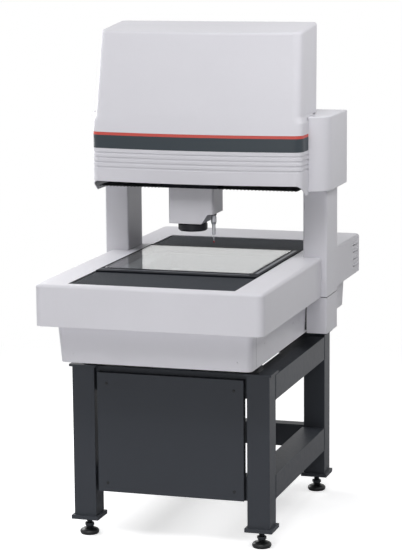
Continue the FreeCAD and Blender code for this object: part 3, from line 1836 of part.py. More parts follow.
def make_probe_body():
    """Collar, barrel and module, from above, with the cavity for the stylus seat in the mouth."""
    body = new_body("probe_body")
    collar = size("probe_collar_diameter") / 2
    barrel = size("probe_body_diameter") / 2
    neck = size("probe_neck_diameter") / 2
    module = size("probe_module_diameter") / 2
    cavity = size("stylus_cavity_diameter") / 2
    cavity_top = probe_low + size("stylus_cavity_depth")
    taper = size("probe_taper")
    rim = size("probe_rim_cut")
    revolve(body, [
        (0, probe_seat),
        (collar, probe_seat),
        (collar, probe_collar_low),
        (neck, probe_collar_low),
        (barrel, probe_collar_low - taper),
        (barrel, probe_barrel_low + taper),
        (neck, probe_barrel_low),
        (module, probe_barrel_low),
        (module, probe_low + rim),
        (module - rim, probe_low),
        (cavity, probe_low),
        (cavity, cavity_top),
        (0, cavity_top),
    ], size("probe_x"), size("probe_y"))
    holes = new_sketch(body, "YZ", 0)
    circle(holes, 0, stylus_pivot, pin_hole_diameter)
    pocket(body, holes, 2 * (size("gimbal_pin_reach") + RUN), both=True)
    return node(body)


def make_stylus_gimbal():
    """A ring that tips on two pins along X in the probe's mouth."""
    body = new_body("stylus_gimbal")
    half = size("gimbal_height") / 2
    revolve(body, [
        (gimbal_inner, stylus_pivot - half),
        (gimbal_outer, stylus_pivot - half),
        (gimbal_outer, stylus_pivot + half),
        (gimbal_inner, stylus_pivot + half),
    ], size("probe_x"), size("probe_y"))
    reach = size("gimbal_pin_reach")
    middle = (gimbal_outer + gimbal_inner) / 2
    for start in (-reach, middle):
        pin = new_sketch(body, "YZ", start)
        circle(pin, 0, stylus_pivot, pin_diameter)
        pad(body, pin, reach - middle)
    holes = new_sketch(body, "XZ", 0)
    circle(holes, 0, stylus_pivot, pin_hole_diameter)
    pocket(body, holes, 2 * size("gimbal_outer_diameter"), both=True)
    return node(body)


def make_stylus():
    """Hub with two pins along Y in the gimbal ring, shaft, neck and ruby ball."""
    stem = new_body("stylus_stem")
    hub = size("stylus_hub_diameter") / 2
    hub_half = size("gimbal_height") / 2
    shaft = size("stylus_diameter") / 2
    neck = shaft / 2
    low = stylus_pivot - size("stylus_length")
    neck_top = low + size("stylus_neck_length")
    revolve(stem, [
        (0, stylus_pivot + hub_half),
        (hub, stylus_pivot + hub_half),
        (hub, stylus_pivot - hub_half),
        (shaft, stylus_pivot - hub_half),
        (shaft, neck_top + shaft),
        (neck, neck_top),
        (neck, low),
        (0, low),
    ], size("probe_x"), size("probe_y"))
    pins = new_sketch(stem, "XZ", 0)
    circle(pins, 0, stylus_pivot, pin_diameter)
    both_pins = pad(stem, pins, 2 * size("stylus_pin_reach"))
    both_pins.Midplane = True
    ball = doc.addObject("Part::Sphere", "stylus_ball")
    ball.setExpression("Radius", (size("stylus_ball_diameter") / 2).text)
    ball.setExpression("Placement.Base.x", size("probe_x").text)
    ball.setExpression("Placement.Base.y", size("probe_y").text)
    ball.setExpression("Placement.Base.z", low.text)
    whole = doc.addObject("Part::Fuse", "stylus")
    whole.Base = stem
    whole.Tool = ball
    whole.Label = "stylus"
    return node(whole)


# The whole machine

make_stand_legs()
make_stand_side_rails()
make_stand_cross_rails()
make_stand_front_panel()
make_isolation_mounts()
for row_name, foot_y in zip(("front", "rear"), leg_centres_y):
    for side_name, sign in SIDES:
        make_foot(f"{row_name}_{side_name}", sign * leg_centre_x, foot_y)
make_granite_base()
make_bridge_columns()
make_bridge_beam()
make_table_cover()
make_skirts()
for side_name, sign in SIDES:
    make_column_base_cover(side_name, sign)
    make_column_cover(side_name, sign)
    make_end_cover(side_name, sign)
make_bridge_rear_cover()
make_head_cover()
make_head_band()
make_y_rails()
make_x_rails()
make_z_rails()
make_bearing_blocks()
make_axis_motors()
make_linear_scales()
make_substage_light()
make_screw("y_ball_screw", y_screw_length, size("y_screw_diameter"),
           y_screw_x, work_y, y_screw_z, "Y")
make_screw("x_ball_screw", size("x_screw_length"), size("x_screw_diameter"),
           size("x_screw_centre_x"), x_screw_y, x_screw_z, "X")
make_screw("z_ball_screw", z_high - z_low, size("z_screw_diameter"),
           carriage_x, z_screw_y, (z_low + z_high) / 2, "Z")
make_stage_table()
make_stage_frame()
make_stage_glass()
make_stage_guide_blocks()
make_bellows("bellows_front", window_front - size("bellows_overlap_front"), stage_front - GAP)
make_bellows("bellows_rear", stage_rear + GAP, window_rear + size("bellows_overlap_rear"))
make_carriage_plate()
make_carriage_guide_blocks()
node(motor("z_motor", carriage_x, z_screw_y, z_high + GAP, "Z"))
make_head_apron()
cover_inside = head_half - WALL - size("x_bellows_end_gap")
make_x_bellows("x_bellows_left", -cover_inside, carriage_x - apron_half - GAP)
make_x_bellows("x_bellows_right", carriage_x + apron_half + GAP, cover_inside)
make_optics_housing()
make_z_slide()
make_camera()
make_lens_tube()
make_ring_light()
make_probe_body()
make_stylus_gimbal()
make_stylus()

doc.recompute()

# Checks and files

failed = [
    f"{item.Label}: {item.getStatusString()}"
    for item in doc.Objects
    if "Invalid" in item.State or "Error" in item.State
]
if failed:
    raise RuntimeError("; ".join(failed))
os.makedirs("parts", exist_ok=True)
for item in nodes:
    if item.Shape.isNull() or not item.Shape.isValid():
        raise RuntimeError(f"{item.Label} has no valid shape")
    item.Shape.exportStep(f"parts/{item.Label}.step")
print(len(nodes), "sub-parts written")
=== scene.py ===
"""Vision measuring machine: materials, fine pieces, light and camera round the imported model.

Metres; X to the operator's right, Y to the rear, Z up.
"""

import math

import bmesh
import bpy
from mathutils import Matrix, Vector
from mathutils.bvhtree import BVHTree


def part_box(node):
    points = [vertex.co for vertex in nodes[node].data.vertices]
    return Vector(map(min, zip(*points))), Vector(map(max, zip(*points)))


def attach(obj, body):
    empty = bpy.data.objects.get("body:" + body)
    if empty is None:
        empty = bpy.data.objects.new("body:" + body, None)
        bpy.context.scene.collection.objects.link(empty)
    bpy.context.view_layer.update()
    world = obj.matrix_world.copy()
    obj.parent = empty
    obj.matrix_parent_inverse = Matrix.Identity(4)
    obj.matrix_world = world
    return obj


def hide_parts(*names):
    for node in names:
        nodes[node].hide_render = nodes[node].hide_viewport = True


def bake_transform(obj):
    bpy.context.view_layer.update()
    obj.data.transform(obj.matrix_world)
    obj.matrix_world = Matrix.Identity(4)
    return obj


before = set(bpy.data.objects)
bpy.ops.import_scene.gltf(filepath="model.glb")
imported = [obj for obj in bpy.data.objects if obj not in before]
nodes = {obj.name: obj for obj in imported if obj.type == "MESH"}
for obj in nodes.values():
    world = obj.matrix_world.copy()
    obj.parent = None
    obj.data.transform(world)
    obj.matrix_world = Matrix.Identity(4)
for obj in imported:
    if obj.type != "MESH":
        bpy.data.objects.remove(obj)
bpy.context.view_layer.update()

MM = 0.001

# Camera: the photograph's viewpoint

CAMERA_PLACE = Vector((2.228, -7.266, 2.154))
CAMERA_TARGET = Vector((0.0028, -0.1035, 0.8698))
CAMERA_ROLL = math.radians(-0.465)
FOCAL_LENGTH = 137.1
SENSOR_WIDTH = 36


def add_camera():
    data = bpy.data.cameras.new("camera")
    data.lens = FOCAL_LENGTH
    data.sensor_width = SENSOR_WIDTH
    data.clip_end = 200
    camera = bpy.data.objects.new("camera", data)
    bpy.context.scene.collection.objects.link(camera)
    forward = (CAMERA_TARGET - CAMERA_PLACE).normalized()
    right = forward.cross(Vector((0, 0, 1))).normalized()
    up = right.cross(forward)
    c, s = math.cos(CAMERA_ROLL), math.sin(CAMERA_ROLL)
    right, up = c * right + s * up, c * up - s * right
    turn = Matrix((right, up, -forward)).transposed()
    camera.matrix_world = Matrix.Translation(CAMERA_PLACE) @ turn.to_4x4()
    bpy.context.scene.camera = camera


add_camera()

# Materials


def linear(r, g, b):
    """A colour given as seen on screen, 0 to 255, as light values."""

    def channel(v):
        v /= 255
        return v / 12.92 if v <= 0.04045 else ((v + 0.055) / 1.055) ** 2.4

    return channel(r), channel(g), channel(b), 1


class Surface:
    """A node material: one shader, fed by textures in the object's own coordinates."""

    def __init__(self, name):
        self.material = bpy.data.materials.new(name)
        self.material.use_nodes = True
        tree = self.material.node_tree
        self.nodes, self.links = tree.nodes, tree.links
        self.shader = self.nodes["Principled BSDF"]
        self.output = self.nodes["Material Output"]
        self.place = self.nodes.new("ShaderNodeTexCoord").outputs["Object"]

    def add(self, kind, inputs=(), **settings):
        made = self.nodes.new(kind)
        for key, value in settings.items():
            setattr(made, key, value)
        for key, value in dict(inputs).items():
            if isinstance(value, bpy.types.NodeSocket):
                self.links.new(value, made.inputs[key])
            else:
                made.inputs[key].default_value = value
        return made

    def join(self, source, name):
        self.links.new(source, self.shader.inputs[name])

    def noise(self, scale, detail=3.0, rough=0.55, place=None):
        inputs = {"Vector": place or self.place, "Scale": scale, "Detail": detail, "Roughness": rough}
        return self.add("ShaderNodeTexNoise", inputs).outputs["Fac"]

    def ramp(self, value, *stops):
        made = self.add("ShaderNodeValToRGB", {"Fac": value})
        ramp = made.color_ramp
        while len(ramp.elements) < len(stops):
            ramp.elements.new(0.5)
        for element, (position, colour) in zip(ramp.elements, stops):
            element.position = position
            element.color = colour
        return made.outputs["Color"]

    def range(self, value, low, high, from_low=0.0, from_high=1.0):
        inputs = {"Value": value, "From Min": from_low, "From Max": from_high, "To Min": low, "To Max": high}
        return self.add("ShaderNodeMapRange", inputs).outputs["Result"]

    def mix(self, factor, one, other):
        made = self.add("ShaderNodeMix", data_type="RGBA")
        for key, value in ((0, factor), (6, one), (7, other)):
            if isinstance(value, bpy.types.NodeSocket):
                self.links.new(value, made.inputs[key])
            else:
                made.inputs[key].default_value = value
        return made.outputs[2]

    def stretch(self, scale):
        return self.add("ShaderNodeMapping", {"Vector": self.place, "Scale": scale}).outputs["Vector"]

    def bump(self, height, strength, distance, normal=None):
        inputs = {"Height": height, "Strength": strength, "Distance": distance}
        if normal is not None:
            inputs["Normal"] = normal
        return self.add("ShaderNodeBump", inputs).outputs["Normal"]

    def soft_edges(self, radius):
        return self.add("ShaderNodeBevel", {"Radius": radius}, samples=4).outputs["Normal"]


def shade(colour, factor):
    return tuple(min(1, c * factor) for c in colour[:3]) + (1,)


def painted(name, colour, rough, grain=900, relief=0.10, mottle=0.035, edge=1.2 * MM, specular=0.32):
    """Baked paint: orange peel, slight cloudiness, faint darker specks at random and softened sheet edges."""
    made = Surface(name)
    clouds = made.noise(3.5, 4, 0.6)
    fine = made.noise(60, 3, 0.5)
    tone = made.mix(clouds, shade(colour, 1 - mottle), shade(colour, 1 + mottle))
    tone = made.mix(made.range(fine, 0, 0.10), tone, shade(colour, 0.90))
    made.join(tone, "Base Color")
    made.join(made.range(fine, rough - 0.05, rough + 0.06), "Roughness")
    peel = made.noise(grain, 2, 0.5)
    made.join(made.bump(peel, relief, 0.12 * MM, made.soft_edges(edge)), "Normal")
    made.shader.inputs["Specular IOR Level"].default_value = specular
    return made.material


def machined(name, colour, rough, lines=(8, 300, 8), metallic=1.0, edge=0.5 * MM, rim_shade=None):
    """Metal with fine tool marks across one direction and a little staining; a rim colour, if given, is
    painted shade that darkens round sides towards their outline.
    """
    made = Surface(name)
    marks = made.noise(1.0, 4, 0.6, made.stretch(lines))
    stain = made.noise(14, 4, 0.6)
    tone = made.mix(made.range(stain, 0, 1), shade(colour, 0.88), colour)
    if rim_shade:
        # Painted shade: the facing weight darkens the colour towards the outline of round parts, where they
        # turn away from view.
        side = made.add("ShaderNodeLayerWeight", {"Blend": 0.5}).outputs["Facing"]
        tone = made.mix(made.range(side, 0, 1, 0.35, 0.8), tone, rim_shade)
    made.join(tone, "Base Color")
    made.join(made.range(marks, rough - 0.08, rough + 0.10), "Roughness")
    made.join(made.bump(marks, 0.15, 0.05 * MM, made.soft_edges(edge)), "Normal")
    made.shader.inputs["Metallic"].default_value = metallic
    return made.material


def moulded(name, colour, rough, grain=1400, relief=0.15, specular=0.4):
    """Plastic or rubber with a fine spark-eroded grain."""
    made = Surface(name)
    grit = made.noise(grain, 2, 0.6)
    cloud = made.noise(22, 3, 0.5)
    made.join(made.mix(cloud, shade(colour, 0.9), shade(colour, 1.1)), "Base Color")
    made.join(made.range(grit, rough - 0.05, rough + 0.08), "Roughness")
    made.join(made.bump(grit, relief, 0.08 * MM, made.soft_edges(0.6 * MM)), "Normal")
    made.shader.inputs["Specular IOR Level"].default_value = specular
    return made.material


def stone(name):
    """Dark ground granite: pale and black grains under a dull polish."""
    made = Surface(name)
    cells = made.add("ShaderNodeTexVoronoi", {"Vector": made.place, "Scale": 420}).outputs["Color"]
    grains = made.add("ShaderNodeSeparateColor", {"Color": cells}).outputs["Red"]
    dark, grey, pale = linear(52, 54, 58), linear(84, 86, 90), linear(150, 150, 152)
    made.join(made.ramp(grains, (0.0, dark), (0.62, grey), (0.92, pale)), "Base Color")
    made.join(made.range(made.noise(40), 0.28, 0.42), "Roughness")
    made.join(made.bump(made.noise(600), 0.1, 0.1 * MM, made.soft_edges(1.0 * MM)), "Normal")
    return made.material


def coated_cloth(name, colour):
    """Bellows cloth: woven threads under a rubbery coat, dusty in random patches."""
    made = Surface(name)
    threads = [
        made.add("ShaderNodeTexWave", {"Vector": made.place, "Scale": 260, "Distortion": 0.4},
                 wave_type="BANDS", bands_direction=way).outputs["Fac"]
        for way in ("X", "Y")
    ]
    weave = made.add("ShaderNodeMath", {0: threads[0], 1: threads[1]}, operation="MULTIPLY").outputs[0]
    dust = made.noise(9, 4, 0.6)
    made.join(made.mix(made.range(dust, 0, 0.5), colour, shade(colour, 1.25)), "Base Color")
    made.join(made.range(dust, 0.55, 0.72), "Roughness")
    made.join(made.bump(weave, 0.1, 0.1 * MM), "Normal")
    made.shader.inputs["Sheen Weight"].default_value = 0.05
    made.shader.inputs["Specular IOR Level"].default_value = 0.15
    return made.material


def two_toned(name, maker, level, below, above, *words, **settings):
    """One of the finishes above, whose colour changes at a height."""
    material = maker(name, below, *words, **settings)
    tree = material.node_tree
    shader = tree.nodes["Principled BSDF"]
    first = shader.inputs["Base Color"].links[0].from_socket
    height = tree.nodes.new("ShaderNodeSeparateXYZ")
    place = tree.nodes.new("ShaderNodeTexCoord")
    tree.links.new(place.outputs["Object"], height.inputs[0])
    higher = tree.nodes.new("ShaderNodeMath")
    higher.operation = "GREATER_THAN"
    higher.inputs[1].default_value = level
    tree.links.new(height.outputs["Z"], higher.inputs[0])
    mix = tree.nodes.new("ShaderNodeMix")
    mix.data_type = "RGBA"
    tree.links.new(higher.outputs[0], mix.inputs[0])
    tree.links.new(first, mix.inputs[6])
    mix.inputs[7].default_value = above
    tree.links.new(mix.outputs[2], shader.inputs["Base Color"])
    return material


def clear_glass(name):
    made = Surface(name)
    smears = made.noise(7, 3, 0.6)
    made.join(made.mix(smears, (0.93, 0.97, 0.96, 1), (0.97, 0.99, 0.985, 1)), "Base Color")
    made.join(made.range(smears, 0.0, 0.015, 0.4, 0.8), "Roughness")
    made.shader.inputs["Transmission Weight"].default_value = 1
    made.shader.inputs["Specular Tint"].default_value = (0.92, 0.92, 1, 1)
    made.shader.inputs["IOR"].default_value = 1.52
    return made.material


def light_window(name, colour, strength):
    """An opal diffuser with faint LED spots behind it."""
    made = Surface(name)
    spots = made.add("ShaderNodeTexVoronoi", {"Vector": made.place, "Scale": 180}).outputs["Distance"]
    made.join(made.ramp(spots, (0.0, colour), (0.6, shade(colour, 0.75))), "Base Color")
    made.join(made.range(spots, 0.25, 0.4), "Roughness")
    made.shader.inputs["Emission Color"].default_value = colour
    made.shader.inputs["Emission Strength"].default_value = strength
    return made.material


def scale_tape(name):
    """A steel tape with graduation lines across its length."""
    made = Surface(name)
    lines = made.add("ShaderNodeTexWave", {"Vector": made.place, "Scale": 160, "Distortion": 0},
                     wave_type="BANDS", bands_direction="DIAGONAL").outputs["Fac"]
    metal, line = linear(196, 170, 110), linear(120, 98, 60)
    made.join(made.ramp(lines, (0.45, metal), (0.55, line)), "Base Color")
    made.join(made.range(made.noise(50), 0.25, 0.4), "Roughness")
    made.shader.inputs["Metallic"].default_value = 0.9
    return made.material


COVER_GREY = linear(216, 215, 221)
STAND_GREY = linear(58, 61, 67)
BAND_GREY = linear(50, 58, 64)
STRIPE_RED = linear(202, 84, 76)
PROBE_GREY = linear(176, 177, 182)
COLLAR_BLACK = linear(34, 35, 38)
BALL_RED = linear(176, 20, 44)

# Heights at which a two-toned piece changes colour
STRIPE_LOW = 1.3865
COLLAR_LOW = 1.1005
BALL_TOP = 1.0085

ROUGH_COAT = {"grain": 500, "relief": 0.25, "mottle": 0.06, "edge": 2.0 * MM, "specular": 0.2}
FINE_COAT = {"grain": 900, "relief": 0.15, "edge": 0.8 * MM, "specular": 0.02}
FILM = {"relief": 0.05, "edge": 0.3 * MM}
# Satin metal; its rim colour paints shade along the outline of round parts.
SATIN = {"lines": (8, 8, 400), "metallic": 0.6, "rim_shade": linear(52, 53, 58)}

cover_paint = painted("cover_paint", COVER_GREY, 0.42)
stand_paint = painted("stand_paint", STAND_GREY, 0.46, **ROUGH_COAT)
band_film = two_toned("band_film", painted, STRIPE_LOW, BAND_GREY, STRIPE_RED, 0.5, **FILM)
granite = stone("granite")
bellows_cloth = coated_cloth("bellows_cloth", linear(47, 50, 55))
black_anodised = painted("black_anodised", linear(30, 32, 37), 0.5, **FINE_COAT)
inlay_grey = machined("inlay_grey", linear(96, 98, 106), 0.45, lines=(300, 8, 8), metallic=0.3)
glass = clear_glass("stage_glass")
rail_steel = machined("rail_steel", linear(176, 178, 182), 0.24)
alloy = machined("alloy", linear(190, 192, 196), 0.36, lines=(200, 8, 8))
iron_paint = painted("iron_paint", linear(120, 124, 130), 0.55, grain=300, relief=0.4)
motor_black = painted("motor_black", linear(34, 35, 38), 0.4, grain=500, relief=0.2)
rubber = moulded("rubber", linear(38, 39, 42), 0.7, grain=500, relief=0.4)
foot_black = painted("foot_black", linear(30, 31, 33), 0.38, grain=500, relief=0.25)
stud_steel = machined("stud_steel", linear(58, 60, 64), 0.35, lines=(8, 8, 300))
ring_plastic = moulded("ring_plastic", linear(24, 24, 31), 0.42, specular=0.25)
lens_black = machined("lens_black", linear(36, 37, 41), 0.35, lines=(8, 8, 300), metallic=0.4)
# The probe and stylus carry the satin rim colour, a painted shade along their outlines.
probe_steel = two_toned("probe_steel", machined, COLLAR_LOW, PROBE_GREY, COLLAR_BLACK, 0.34, **SATIN)
stylus_steel = two_toned("stylus_steel", machined, BALL_TOP, BALL_RED, PROBE_GREY, 0.3, **SATIN)
tape = scale_tape("scale_tape")
diffuser = light_window("diffuser", linear(236, 238, 240), 0.35)
screw_black = machined("screw_black", linear(30, 31, 34), 0.45, lines=(300, 300, 300), metallic=0.3)
# A darker grey painted on the skirt seams as the shade of the gap between the panels.
painted_seam_shade = painted("painted_seam_shade", linear(132, 132, 138), 0.5)

NODE_MATERIALS = {
    cover_paint: (
        "table_cover skirt_front skirt_left skirt_right skirt_rear column_base_cover_left "
        "column_base_cover_right column_cover_left column_cover_right bridge_end_cover_left "
        "bridge_end_cover_right bridge_rear_cover head_cover optics_housing"
    ),
    stand_paint: "stand_legs stand_side_rails stand_cross_rails stand_front_panel",
    band_film: "head_band",
    granite: "granite_base bridge_columns bridge_beam",
    black_anodised: "stage_frame head_apron",
    bellows_cloth: "bellows_front bellows_rear x_bellows_left x_bellows_right",
    glass: "stage_glass",
    rail_steel: (
        "x_rails y_rails z_rails stage_guide_blocks carriage_guide_blocks x_ball_screw y_ball_screw "
        "z_ball_screw"
    ),
    alloy: "carriage_plate z_slide substage_light",
    iron_paint: "stage_table screw_bearing_blocks",
    motor_black: "axis_motors z_motor",
    rubber: "isolation_mounts",
    foot_black: "foot_pad_front_left foot_pad_front_right foot_pad_rear_left foot_pad_rear_right",
    stud_steel: "foot_stud_front_left foot_stud_front_right foot_stud_rear_left foot_stud_rear_right",
    ring_plastic: "ring_light",
    lens_black: "camera lens_tube",
    probe_steel: "probe_body stylus_gimbal",
    stylus_steel: "stylus",
    tape: "linear_scales",
}
for material, names in NODE_MATERIALS.items():
    for name in names.split():
        data = nodes[name].data
        data.materials.clear()
        data.materials.append(material)

# Mesh building


def new_object(name, mesh, material, body, smooth=True):
    made = bpy.data.objects.new(name, mesh)
    bpy.context.scene.collection.objects.link(made)
    mesh.materials.append(material)
    if smooth:
        for face in mesh.polygons:
            face.use_smooth = True
        mesh.set_sharp_from_angle(angle=math.radians(35))
    if body:
        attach(made, body)
    return made


def mesh_of(name, points, faces):
    mesh = bpy.data.meshes.new(name)
    mesh.from_pydata([tuple(p) for p in points], [], faces)
    mesh.update()
    return mesh


def grid_faces(rows, columns, closed):
    """Quads between rows of points; closed joins each row's end to its start."""
    faces = []
    for i in range(rows - 1):
        for j in range(columns if closed else columns - 1):
            k = (j + 1) % columns
            faces.append((i * columns + j, i * columns + k, (i + 1) * columns + k, (i + 1) * columns + j))
    return faces


def capped(rows, columns):
    """The faces of closed rings, one above the other, with the first and last ring filled."""
    faces = grid_faces(rows, columns, closed=True)
    faces.append(tuple(reversed(range(columns))))
    faces.append(tuple(range((rows - 1) * columns, rows * columns)))
    return faces


def ring(radius, height, segments):
    """Points round the Z axis."""
    turns = [2 * math.pi * k / segments for k in range(segments)]
    return [(radius * math.cos(turn), radius * math.sin(turn), height) for turn in turns]


class Batch:
    """Collects turned and extruded pieces that share a material into one mesh."""

    def __init__(self):
        self.points, self.faces = [], []

    def add(self, points, faces, turn=Matrix.Identity(4)):
        start = len(self.points)
        self.points += [turn @ Vector(p) for p in points]
        self.faces += [tuple(start + k for k in face) for face in faces]

    def turned(self, profile, turn, segments=24):
        """A closed solid of revolution about the turn's own Z from (radius, height) pairs."""
        points = []
        for radius, height in profile:
            points += ring(radius, height, segments)
        self.add(points, capped(len(profile), segments), turn)

    def stack(self, low, high, corner, levels):
        """A solid with an eight-sided plan from (inset, height) pairs, from its bottom up."""
        points = []
        for inset, z in levels:
            a, b, c, d = low[0] + inset, high[0] - inset, low[1] + inset, high[1] - inset
            k = corner
            points += [(a + k, c, z), (b - k, c, z), (b, c + k, z), (b, d - k, z)]
            points += [(b - k, d, z), (a + k, d, z), (a, d - k, z), (a, c + k, z)]
        self.add(points, capped(len(levels), 8))

    def block(self, low, high, cut):
        """A block with all its edges cut."""
        self.stack(low, high, cut, ((cut, low[2]), (0, low[2] + cut), (0, high[2] - cut), (cut, high[2])))

    def build(self, name, material, body, slot):
        return new_object(name, mesh_of(name, self.points, self.faces), material, body)


def facing(place, direction):
    """Puts local Z along direction at place."""
    return Matrix.Translation(Vector(place)) @ Vector(direction).to_track_quat("Z", "Y").to_matrix().to_4x4()


def socket_screw(batch, place, direction, radius):
    """A button-head screw with its washer, rounded crown and socket."""
    rise = 0.55 * radius
    socket = 0.42 * radius
    profile = [
        (1.25 * radius, 0), (1.25 * radius, 0.12 * radius), (radius, 0.12 * radius), (radius, 0.25 * radius),
        (0.92 * radius, 0.6 * rise), (0.75 * radius, 0.88 * rise), (0.55 * radius, rise),
        (socket, rise), (socket, 0.45 * rise), (0.3 * socket, 0.4 * rise),
    ]
    batch.turned(profile, facing(place, direction), 12)


def solid_boxes(node):
    """The boxes of a node's separate solids, as (low, high) corners in a fixed order."""
    mesh = bmesh.new()
    mesh.from_mesh(nodes[node].data)
    bmesh.ops.remove_doubles(mesh, verts=mesh.verts, dist=0.01 * MM)
    left = set(mesh.verts)
    boxes = []
    while left:
        waiting, group = [left.pop()], []
        while waiting:
            vert = waiting.pop()
            group.append(vert.co.copy())
            for edge in vert.link_edges:
                other = edge.other_vert(vert)
                if other in left:
                    left.remove(other)
                    waiting.append(other)
        low = Vector([min(p[i] for p in group) for i in range(3)])
        high = Vector([max(p[i] for p in group) for i in range(3)])
        boxes.append((low, high))
    mesh.free()
    return sorted(boxes, key=lambda box: (round(box[0].y, 4), round(box[0].x, 4)))


def on_surface(node, origin, direction):
    """Where a straight line first meets a node, and which way its surface faces there."""
    data = nodes[node].data
    tree = BVHTree.FromPolygons([v.co for v in data.vertices], [tuple(p.vertices) for p in data.polygons])
    place, normal, _, _ = tree.ray_cast(Vector(origin), Vector(direction))
    if place is None:
        raise ValueError(f"nothing of {node} on the line from {tuple(origin)}")
    if normal.dot(Vector(direction)) > 0:
        normal = -normal
    return place, normal


# Screws that hold the sheets: node, a point outside it, the way in, and the head's radius in mm

SIDES = (("left", -1), ("right", 1))
TO_REAR, TO_FRONT = (0, 1, 0), (0, -1, 0)
DARK_SCREWS = [("stand_front_panel", (x, -1, z), TO_REAR, 4.5) for x in (-0.23, 0.23) for z in (0.2, 0.555)]
COVER_SCREWS = [
    *[("skirt_rear", (x, 1, z), TO_FRONT, 3) for x in (-0.28, 0, 0.28) for z in (0.69, 0.765)],
    *[("skirt_front", (x, -1, 0.69), TO_REAR, 2.5) for x in (-0.29, 0.29)],
    *[("bridge_rear_cover", (x, 1, z), TO_FRONT, 3)
      for x in (-0.33, -0.11, 0.11, 0.33) for z in (1.29, 1.70)],
    *[(f"column_cover_{side}", (sign * 0.376, 1, z), TO_FRONT, 3)
      for side, sign in SIDES for z in (0.98, 1.14)],
    *[(f"skirt_{side}", (sign, y, 0.728), (-sign, 0, 0), 2.5)
      for side, sign in SIDES for y in (-0.476, -0.1)],
]


def add_screws(name, wanted, material, slot):
    batch = Batch()
    for node, origin, direction, radius in wanted:
        place, normal = on_surface(node, origin, direction)
        socket_screw(batch, place, normal, radius * MM)
    batch.build(name, material, "machine_frame", slot)


add_screws("panel_screws", DARK_SCREWS, screw_black, "stand_paint")
add_screws("cover_screws", COVER_SCREWS, cover_paint, "cover_paint")

# Seams between the front and side skirts, drawn as thin raised strips in a darker grey that paints the shade
# of the gap between the panels; from (y, z) at their top to (y, z) at their bottom

SEAM_TOP, SEAM_BOTTOM = (-0.592, 0.785), (-0.568, 0.665)
SEAM_WIDTH, SEAM_RISE = 1.6 * MM, 0.25 * MM


def ribbon(name, places, material):
    """A thin raised strip through (point, normal) pairs of the fixed frame."""
    points = []
    for k, (place, normal) in enumerate(places):
        before = places[max(0, k - 1)][0]
        after = places[min(len(places) - 1, k + 1)][0]
        across = (after - before).cross(normal).normalized() * SEAM_WIDTH / 2
        crown = normal * SEAM_RISE
        points += [place - across, place - across * 0.8 + crown, place + across * 0.8 + crown, place + across]
    strip = mesh_of(name, points, grid_faces(len(places), 4, closed=False))
    new_object(name, strip, material, "machine_frame")


def add_seams():
    steps = 8
    for side, sign in SIDES:
        places = []
        for k in range(steps + 1):
            y, z = (top + (bottom - top) * k / steps for top, bottom in zip(SEAM_TOP, SEAM_BOTTOM))
            places.append(on_surface(f"skirt_{side}", (sign, y, z), (-sign, 0, 0)))
        ribbon(f"skirt_seam_{side}", places, painted_seam_shade)


add_seams()

# Vent hoods pressed out over the slots of the table cover

HOOD_TOPS = (0.9165, 0.8895, 0.8625, 0.8355)
HOOD_ROOT = 0.3998
HOOD_FRONT = 0.5765
HOOD_LENGTH = 0.088
HOOD_BULGE = 4.5 * MM
HOOD_DROP = 9.5 * MM


def add_vent_hoods():
    batch = Batch()
    columns, steps = 15, 5
    for top in HOOD_TOPS:
        points = []
        for v in range(steps + 2):
            for u in range(columns):
                along = u / (columns - 1)
                bulge = HOOD_BULGE * math.sin(math.pi * along) ** 0.5
                turn = math.pi / 2 * min(v, steps) / steps
                out = 0.0 if v > steps else bulge * math.sin(turn)
                drop = HOOD_DROP * (1 - math.cos(turn))
                points.append((HOOD_ROOT + out, HOOD_FRONT + HOOD_LENGTH * along, top - drop))
        batch.add(points, grid_faces(steps + 2, columns, closed=False))
    batch.build("vent_hoods", cover_paint, "machine_frame", "cover_paint")


add_vent_hoods()

# Vibration mounts: ribbed rubber between steel plates, and a steel bracket with a rubber pad at the front

BRACKET_PAD = 8 * MM
MOUNT_PLATE = 5 * MM
RIB_PITCH = 10 * MM
RIB_DEPTH = 3 * MM


def add_mounts():
    rubber_parts, plates, bracket = Batch(), Batch(), Batch()
    boxes = solid_boxes("isolation_mounts")
    block_low, block_high = min(boxes, key=lambda box: abs(box[0].x + box[1].x))
    pad_low = block_high.z - BRACKET_PAD
    bracket.block(block_low, (block_high.x, block_high.y, pad_low), 2 * MM)
    bracket.build("front_bracket", stand_paint, "machine_frame", "stand_paint")
    for low, high in boxes:
        if low == block_low:
            rubber_parts.block((low.x, low.y, pad_low), high, 1 * MM)
            continue
        bottom, top = low.z + MOUNT_PLATE, high.z - MOUNT_PLATE
        plates.block(low, (high.x, high.y, bottom), 1 * MM)
        plates.block((low.x, low.y, top), high, 1 * MM)
        steps = 4 * max(2, round((top - bottom) / RIB_PITCH))
        levels = []
        for k in range(steps + 1):
            inset = 1 * MM + RIB_DEPTH * math.sin(math.pi * (k / 4 % 1)) ** 2
            levels.append((inset, bottom + (top - bottom) * k / steps))
        rubber_parts.stack(low, high, 6 * MM, levels)
    made = rubber_parts.build("mount_rubber_blocks", rubber, "machine_frame", "mount_rubber")
    plates.build("mount_plates", motor_black, "machine_frame", "mount_rubber")
    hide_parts("isolation_mounts")


add_mounts()

# Weld beads where the side rails meet the legs


BEAD_RADIUS = 1.5 * MM
BEAD_RIPPLE = 0.22
BEAD_STEPS = 34


def add_welds():
    batch = Batch()
    for low, high in solid_boxes("stand_side_rails"):
        outer = low.x if low.x < 0 else high.x
        rise = (high.z - low.z) / BEAD_STEPS
        profile = [(BEAD_RADIUS * (1 + BEAD_RIPPLE * (-1) ** k), rise * k) for k in range(BEAD_STEPS + 1)]
        for y in (low.y, high.y):
            batch.turned(profile, Matrix.Translation((outer, y, low.z)), 8)
    batch.build("weld_beads", stand_paint, "machine_frame", "stand_paint")


add_welds()

# Aluminium inlays in the stage frame's right and front strips


